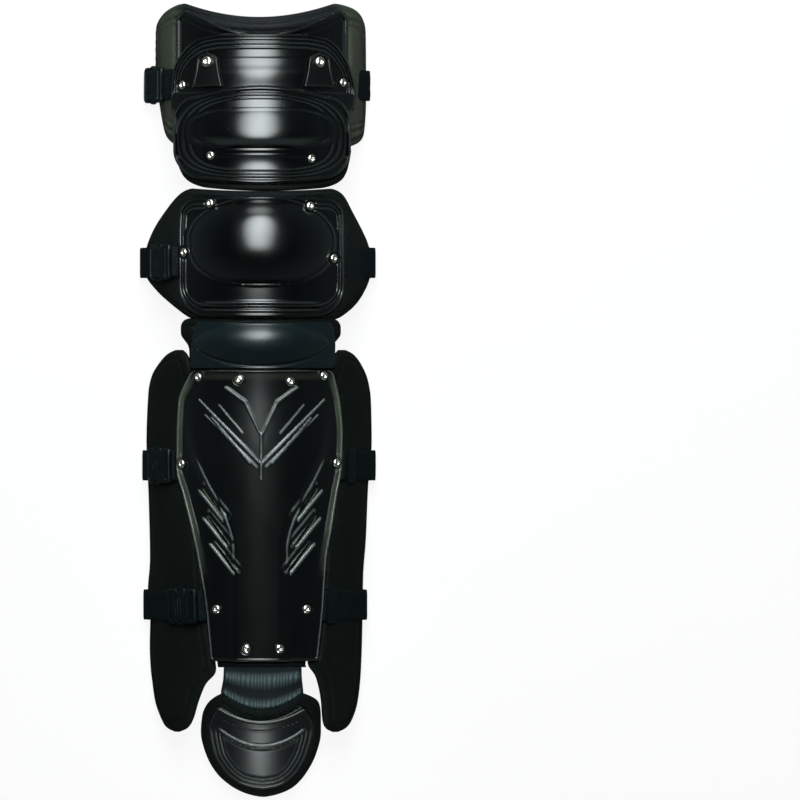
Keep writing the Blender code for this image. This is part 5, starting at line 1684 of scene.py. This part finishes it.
class Strap:
    """One strap, from the right rim of a plate, round the padding, to its buckle on the left."""

    def __init__(self, name, plate, padding, at, buckle_share):
        self.name, self.plate = name, PATCHES[plate]
        self.down = at * GUARD_LENGTH
        self.left_pad = PATCHES["left_shin_wing" if padding == "wing" else padding]
        self.right_pad = PATCHES["right_shin_wing" if padding == "wing" else padding]
        self.lift = LAYER_GAP + STRAP_THICKNESS / 2
        if name in LOOPED_STRAPS:
            self.lift = 2 * SEAT_GAP + LOOP_WALL + LOOP_SLACK + STRAP_THICKNESS / 2
        surface = above(leg_height, LAYER_GAP + BUCKLE_THICKNESS / 2)
        self.buckle = frame_at(surface, -buckle_share * self.left_pad.half_width, self.down)

    def on_padding(self, xs, down, lift):
        return [(x, float(above(leg_height, lift)(x, down))) for x in xs]

    def edge(self, side):
        """How far out the padding reaches anywhere under the strap's width."""
        pad = self.right_pad if side > 0 else self.left_pad
        return np.abs(pad.edge(self.down + np.linspace(-0.5, 0.5, 5) * STRAP_WIDTH, side)).max()

    def turn(self, side, down):
        """The way round the edge of the padding and down to the floor, as x and z."""
        edge, floor = self.edge(side), STRAP_THICKNESS / 2
        brink = float(leg_height(edge, down))
        return [
            (side * (edge + floor + 1.9 * LAYER_GAP), brink - LAYER_GAP),
            (side * (edge + floor + LAYER_GAP), floor + 0.5 * (brink - floor)),
            (side * (edge - 2 * STRAP_THICKNESS), floor), (side * (edge - 7 * STRAP_THICKNESS), floor),
        ]

    def buckle_end(self, side, down):
        """Where webbing meets the buckle's end and a point a little further out."""
        offset = self.down - down
        end = self.buckle @ Vector((side * (BUCKLE_REACH + LAYER_GAP), offset, 0))
        further = self.buckle @ Vector((side * (BUCKLE_REACH + 1.8 * STRAP_THICKNESS), offset, 0))
        return [(end.x, end.z), (further.x, further.z)]

    def route(self, down, count):
        """The strap's middle line as x and z, at this place across its width."""
        rim = self.plate.edge(down, 1) + SEAT_GAP
        right = self.on_padding(np.linspace(rim, self.edge(1) - EDGE_INSET, 5), down, self.lift)
        left = self.buckle_end(-1, down)
        room = left[-1][0] + self.edge(-1) - EDGE_INSET
        if room > STRAP_THICKNESS:
            left += self.on_padding(left[-1][0] - room * np.linspace(0.4, 1, 3), down, self.lift)
        for x, z in self.turn(-1, down):
            lower = z < left[-1][1] - STRAP_THICKNESS / 2 and x < left[-1][0] + STRAP_THICKNESS
            if lower or z <= STRAP_THICKNESS / 2:
                left.append((x, z))
        middle = [(0.0, STRAP_THICKNESS / 2)]
        line = smooth_route(right + self.turn(1, down) + middle + left[::-1], count)
        line[:, 1] = np.maximum(line[:, 1], STRAP_THICKNESS / 2)
        return line

    def tab_route(self, down, count):
        rim = self.plate.edge(down, -1) - SEAT_GAP
        stops = self.buckle_end(1, down) + self.on_padding([rim], down, LAYER_GAP + STRAP_THICKNESS / 2)
        return smooth_route(stops, count)

    def band(self, route, count, columns=13):
        """The band's middle surface: a route for each of five places across its width, and straight
        lines between them."""
        offsets = np.linspace(-0.5, 0.5, 5) * STRAP_WIDTH
        lines = np.stack([route(self.down + offset, count) for offset in offsets], 1)
        at = np.linspace(-0.5, 0.5, columns) * STRAP_WIDTH
        x = np.stack([np.interp(at, offsets, row) for row in lines[..., 0]])
        z = np.stack([np.interp(at, offsets, row) for row in lines[..., 1]])
        y = GUARD_LENGTH / 2 - self.down - np.broadcast_to(at, x.shape)
        return np.stack([x, y, z], -1)


def webbing_band(name, middle, node):
    """Webbing of the strap's thickness round its middle surface, thinner at its two selvedges."""
    normal = unit(np.cross(np.gradient(middle, axis=0), np.gradient(middle, axis=1)))
    share = np.linspace(-1, 1, middle.shape[1])
    half = STRAP_THICKNESS / 2 * (1 - 0.35 * np.abs(share) ** 6)
    half = half * (1 + 0.05 * np.cos(share * 9.0))
    half = np.minimum(half, STRAP_THICKNESS / 2)[None, :, None]
    outer, inner = middle + normal * half, middle - normal * half
    points, faces, (row, column) = closed_sheet(outer, inner, 2, 0.0003)
    points[:, 2] = np.maximum(points[:, 2], 0.0)
    run = lengths_along(middle, 0)
    width = share * STRAP_WIDTH / 2 + 0 * run
    uv = np.stack([width, run], -1)[row, column]
    made = add_piece(name, points, faces, strap_webbing(), uv=uv, sharp=70)
    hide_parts(node)


class GUARD_OT_straps(bpy.types.Operator):
    """Lay the webbing straps and the short tabs that hold the buckles' clips"""

    bl_idname = "guard.straps"
    bl_label = "Straps"

    def execute(self, context):
        for row in STRAP_ROWS:
            strap = Strap(*row)
            label = strap.name
            webbing_band(label + "_webbing", strap.band(strap.route, 160), label + "_strap")
            webbing_band(label + "_tab_webbing", strap.band(strap.tab_route, 14), label + "_buckle_tab")
        return {"FINISHED"}


def dented(points, boxes):
    """Lofted points with boxes pressed into the top: each box is its centre and half sizes in x and
    y, and its depth, with sides that slope over half a millimetre."""
    x, y, z = np.moveaxis(points, -1, 0)
    sink = 0
    for cx, cy, hx, hy, depth in boxes:
        inside = ease((hx - np.abs(x - cx)) / 0.0005 + 0.5) * ease((hy - np.abs(y - cy)) / 0.0005 + 0.5)
        sink = sink + depth * inside
    z = np.where(z > 0, np.maximum(z - sink, 0.0004), z)
    return np.stack([x, y, z], -1)


class GUARD_OT_buckles(bpy.types.Operator):
    """Build the side-release buckles: a socket and a clip on each strap"""

    bl_idname = "guard.buckles"
    bl_label = "Buckles"

    def execute(self, context):
        start, mouth, end = -BUCKLE_REACH, SOCKET_LENGTH - BUCKLE_REACH, BUCKLE_REACH
        base = mouth + SEAT_GAP
        half, depth = BUCKLE_WIDTH / 2, BUCKLE_THICKNESS / 2

        def body(rows, along):
            """A body of stations: x, half width and half height as shares of the buckle's, and power."""
            stations = [(x, 0, wide * half, high * depth, power) for x, wide, high, power in rows]
            return loft(stations, 64, along)

        socket = body(
            (
                (start, 0.84, 0.55, 4), (start + 0.0012, 0.97, 0.86, 5), (start + 0.0045, 1, 0.98, 6),
                (start + 0.0085, 0.99, 1, 6), (start + 0.0115, 0.86, 1, 6), (start + 0.0155, 0.86, 1, 6),
                (start + 0.0180, 0.98, 1, 6), (mouth - 0.0004, 1, 0.98, 6), (mouth, 0.97, 0.92, 6),
            ),
            10,
        )
        grips = [(start + at, 0, 0.0011, 0.0078, 0.0006) for at in (0.0100, 0.0130, 0.0160)]
        socket = dented(socket, [(start + 0.0034, 0, 0.0011, 0.0118, 0.0022), *grips])
        clip = body(
            (
                (base, 0.86, 0.80, 5), (base + 0.0006, 0.97, 0.95, 6), (base + 0.0030, 1, 0.98, 6),
                (end - 0.0045, 0.98, 0.92, 6), (end - 0.0010, 0.95, 0.74, 5), (end, 0.86, 0.50, 4),
            ),
            8,
        )
        dents = [(end - 0.0036, 0, 0.0011, 0.0118, 0.0020), (base + 0.0032, 0, 0.0006, 0.0090, 0.0005)]
        clip = dented(clip, dents)
        arm_rows = (
            (-0.0130, 0.86, 0.0006, 0.0010, 3), (-0.0100, 0.93, 0.0016, 0.0019, 4),
            (-0.0070, 0.96, 0.0019, 0.0021, 4), (-0.0035, 0.90, 0.0016, 0.0021, 4),
            (0.0020, 0.80, 0.0018, 0.0020, 4),
        )
        arms = [
            loft([(mouth + at, side * out * half, *sizes) for at, out, *sizes in arm_rows], 20, 6)
            for side in (-1, 1)
        ]
        for row in STRAP_ROWS:
            strap = Strap(*row)
            points, faces = loft_mesh(moved(socket, strap.buckle))
            made = add_piece(strap.name + "_socket_moulding", points, faces, buckle_plastic(), sharp=40)
            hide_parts(strap.name + "_buckle_socket")
            points, faces = join_parts([loft_mesh(moved(part, strap.buckle)) for part in (clip, *arms)])
            made = add_piece(strap.name + "_clip_moulding", points, faces, buckle_plastic(), sharp=40)
            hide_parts(strap.name + "_buckle_clip")
        return {"FINISHED"}


class GUARD_OT_loops(bpy.types.Operator):
    """Build the plastic loops that the shin straps leave their plate through"""

    bl_idname = "guard.loops"
    bl_label = "Strap loops"

    def execute(self, context):
        slot = STRAP_THICKNESS + 2 * LOOP_SLACK
        half_y = BUCKLE_WIDTH / 2 - LOOP_WALL / 2
        half_z = (slot + LOOP_WALL) / 2
        around, turns = 72, 20
        angle = circle(around)[:, None]
        c, s = superellipse(angle, 7.0)
        a, b = superellipse(circle(turns)[None, :], 5.0)
        out_y, out_z = np.cos(angle) * half_z, np.sin(angle) * half_y
        size = np.hypot(out_y, out_z)
        y = c * half_y + b * LOOP_WALL / 2 * out_y / size
        z = s * half_z + b * LOOP_WALL / 2 * out_z / size
        ring = np.stack(np.broadcast_arrays(a * LOOP_LENGTH / 2 + 0 * y, y, z), -1)
        faces = tube_faces(around, turns)
        for row in STRAP_ROWS:
            if row[0] in LOOPED_STRAPS:
                strap = Strap(*row)
                surface = above(leg_height, strap.lift)
                place = frame_at(surface, LOOPED_STRAPS[strap.name] * strap.right_pad.half_width, strap.down)
                points = moved(ring, place).reshape(-1, 3)
                made = add_piece(strap.name + "_loop_moulding", points, faces, buckle_plastic(), sharp=45)
                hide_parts(strap.name + "_strap_loop")
        return {"FINISHED"}


def stitches(x, down, height, lift, pitch, radius=0.00035):
    """A row of stitches along a line: each is a small capsule that dips into the cover at its ends."""
    line, normal = stand_off(height, x, down, lift)
    run = lengths_along(line, 0)
    starts = np.arange(0.3 * pitch, run[-1] - pitch, pitch)
    share = np.linspace(0, 1, 7)
    at = starts[:, None] + share[None, :] * pitch * 0.72
    centre = np.stack([np.interp(at, run, column) for column in line.T], -1)
    up = np.stack([np.interp(at, run, column) for column in normal.T], -1)
    side = np.cross(up, unit(np.gradient(centre, axis=1)))
    arch = np.sin(math.pi * share)
    centre = centre + up * (radius * (1.6 * arch - 0.9))[None, :, None]
    size = radius * np.sqrt(np.clip(arch, 0.02, 1))
    turn = circle(6)
    ring = (
        centre[:, :, None]
        + side[:, :, None] * (size[:, None] * np.cos(turn))[None, :, :, None]
        + up[:, :, None] * (size[:, None] * np.sin(turn))[None, :, :, None]
    )
    count, rows, around = ring.shape[:3]
    one = grid_faces(rows, around, wrap=True)
    faces = (one[None] + (np.arange(count) * rows * around)[:, None, None]).reshape(-1, 4)
    return ring.reshape(-1, 3), faces


class GUARD_OT_stitching(bpy.types.Operator):
    """Sew the bound edges and the toe shell"""

    bl_idname = "guard.stitching"
    bl_label = "Stitching"

    def execute(self, context):
        sizes = context.scene.guard_sizes
        for name, (_, _, thickness, _) in PADS.items():
            patch = PATCHES[name]
            x, down = rim_line(patch, 900, sizes.binding_width * 0.72, 0.007)
            lift = -thickness / 2 + 0.0024
            self.sew(name + "_stitches", *stitches(x, down, patch.height, lift, sizes.stitch_pitch))
        x = np.linspace(-0.031, 0.035, 200)
        down = 0.5995 + toe_arc(x, 0.0115)
        row = stitches(x, down, toe_height, SHELL_LIFT + 0.0001, 0.0040, 0.0005)
        self.sew("toe_shell_stitches", *row)
        return {"FINISHED"}

    def sew(self, name, points, faces):
        mesh = bpy.data.meshes.new(name)
        mesh.from_pydata(points, [], faces)
        mesh.shade_smooth()
        mesh.materials.append(stitch_thread())
        made = bpy.data.objects.new(name, mesh)
        bpy.context.scene.collection.objects.link(made)
        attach(made, "root")


def add_light(name, place, target, size, radiance, colour, layers):
    """Elliptical lamps of one radiance each, one inside the other and a centimetre closer, whose sum
    fades out like a softbox."""
    aim = Vector(target) - Vector(place)
    for layer in range(layers):
        share = (layer + 1) / layers
        data = bpy.data.lights.new(name, "AREA")
        data.shape = "ELLIPSE"
        data.size, data.size_y = size[0] * share, size[1] * (0.55 + 0.45 * share)
        data.energy = radiance * math.pi * math.pi * data.size * data.size_y / 4
        data.color = colour
        lamp = bpy.data.objects.new(name, data)
        lamp.location = Vector(place) + aim.normalized() * LAMP_STEP * (layers - layer)
        lamp.rotation_euler = aim.to_track_quat("-Z", "Y").to_euler()
        bpy.context.scene.collection.objects.link(lamp)


class GUARD_OT_stage(bpy.types.Operator):
    """Set the pale floor, the soft studio light and the camera"""

    bl_idname = "guard.stage"
    bl_label = "Stage"

    def execute(self, context):
        scene = context.scene
        finish = Finish("floor_paper", specular_ior_level=0.2)
        cloud = finish.noise(finish.coordinates(), 3.0, 3.0)
        colour = finish.mix(cloud, (0.045, 0.045, 0.045), (0.055, 0.055, 0.055))
        finish.shader.inputs["Emission Color"].default_value = (1.0, 1.0, 1.0, 1.0)
        finish.shader.inputs["Emission Strength"].default_value = FLOOR_GLOW
        material = finish.wire(colour, 0.85)
        mesh = bpy.data.meshes.new("studio_floor")
        half = FLOOR_HALF_SIZE
        corners = [(x * half, y * half, -FLOOR_CLEARANCE) for x, y in ((-1, -1), (1, -1), (1, 1), (-1, 1))]
        mesh.from_pydata(corners, [], [(0, 1, 2, 3)])
        mesh.materials.append(material)
        floor = bpy.data.objects.new("studio_floor", mesh)
        scene.collection.objects.link(floor)
        floor.visible_glossy = False

        world = scene.world or bpy.data.worlds.new("studio")
        scene.world = world
        world.use_nodes = True
        tree = world.node_tree
        tree.nodes.clear()
        place, split, ramp, sky, out = (
            tree.nodes.new("ShaderNode" + kind)
            for kind in ("TexCoord", "SeparateXYZ", "ValToRGB", "Background", "OutputWorld")
        )
        for start, stop in (
            (place.outputs["Generated"], split.inputs[0]), (split.outputs["Z"], ramp.inputs[0]),
            (ramp.outputs[0], sky.inputs["Color"]), (sky.outputs[0], out.inputs["Surface"]),
        ):
            tree.links.new(start, stop)
        stops = ((0.0, (0.11, 0.14, 0.14, 1.0)), (0.8, (0.014, 0.018, 0.019, 1.0)))
        for element, (position, colour) in zip(ramp.color_ramp.elements, stops):
            element.position, element.color = position, colour
        sky.inputs["Strength"].default_value = 1.0

        tint = STUDIO_TINT
        add_light("key", (0.01, 0.64, 1.17), (0.0, 0.12, 0.05), (0.86, 1.45), 3.5, tint, 7)
        add_light("back", (0.0, 1.65, 0.62), (0.0, 0.15, 0.08), (0.8, 0.8), 1.4, tint, 5)
        spot = bpy.data.lights.new("toe", "SPOT")
        spot.energy, spot.color = 4.4, tint
        spot.spot_size, spot.spot_blend, spot.shadow_soft_size = math.radians(34), 0.4, 0.085
        lamp = bpy.data.objects.new("toe", spot)
        lamp.location = (0.005, -0.66, 0.27)
        lamp.rotation_euler = Vector((0, 0.35, -0.25)).to_track_quat("-Z", "Y").to_euler()
        scene.collection.objects.link(lamp)

        height = scene.guard_sizes.camera_height
        data = bpy.data.cameras.new("camera")
        data.sensor_width = SENSOR_WIDTH
        data.lens = SENSOR_WIDTH * (height - FOCUS_HEIGHT) / VIEW_WIDTH
        data.clip_end = 50.0
        camera = bpy.data.objects.new("camera", data)
        camera.location = (0.1189, 0.0004, height)
        scene.collection.objects.link(camera)
        scene.camera = camera
        scene.view_settings.view_transform = "Standard"
        scene.view_settings.look = "None"
        scene.view_settings.exposure = 0.0
        return {"FINISHED"}


STEPS = (
    GUARD_OT_padding, GUARD_OT_bindings, GUARD_OT_gusset, GUARD_OT_thigh_plates, GUARD_OT_knee_cups,
    GUARD_OT_shin_plate, GUARD_OT_toe_shell, GUARD_OT_rivets, GUARD_OT_straps, GUARD_OT_buckles,
    GUARD_OT_loops, GUARD_OT_stitching, GUARD_OT_stage,
)


class GUARD_PT_panel(bpy.types.Panel):
    """Builds the leg guard piece by piece"""

    bl_idname = "GUARD_PT_panel"
    bl_label = "Leg guard"
    bl_space_type = "VIEW_3D"
    bl_region_type = "UI"
    bl_category = "Leg guard"

    def draw(self, context):
        layout = self.layout
        for group in (context.scene.guard_sizes, context.scene.guard_colours):
            column = layout.column()
            for key in group.__annotations__:
                column.prop(group, key)
        for step in STEPS:
            layout.operator(step.bl_idname)


CLASSES = (GuardSizes, GuardColours, *STEPS, GUARD_PT_panel)


def register():
    for cls in CLASSES:
        bpy.utils.register_class(cls)
    bpy.types.Scene.guard_sizes = PointerProperty(type=GuardSizes)
    bpy.types.Scene.guard_colours = PointerProperty(type=GuardColours)


def unregister():
    del bpy.types.Scene.guard_colours
    del bpy.types.Scene.guard_sizes
    for cls in reversed(CLASSES):
        bpy.utils.unregister_class(cls)


def main():
    register()
    for step in STEPS:
        group, name = step.bl_idname.split(".")
        result = getattr(getattr(bpy.ops, group), name)()
        if result != {"FINISHED"}:
            raise RuntimeError(step.bl_label + " did not finish")


if __name__ == "__main__":
    main()
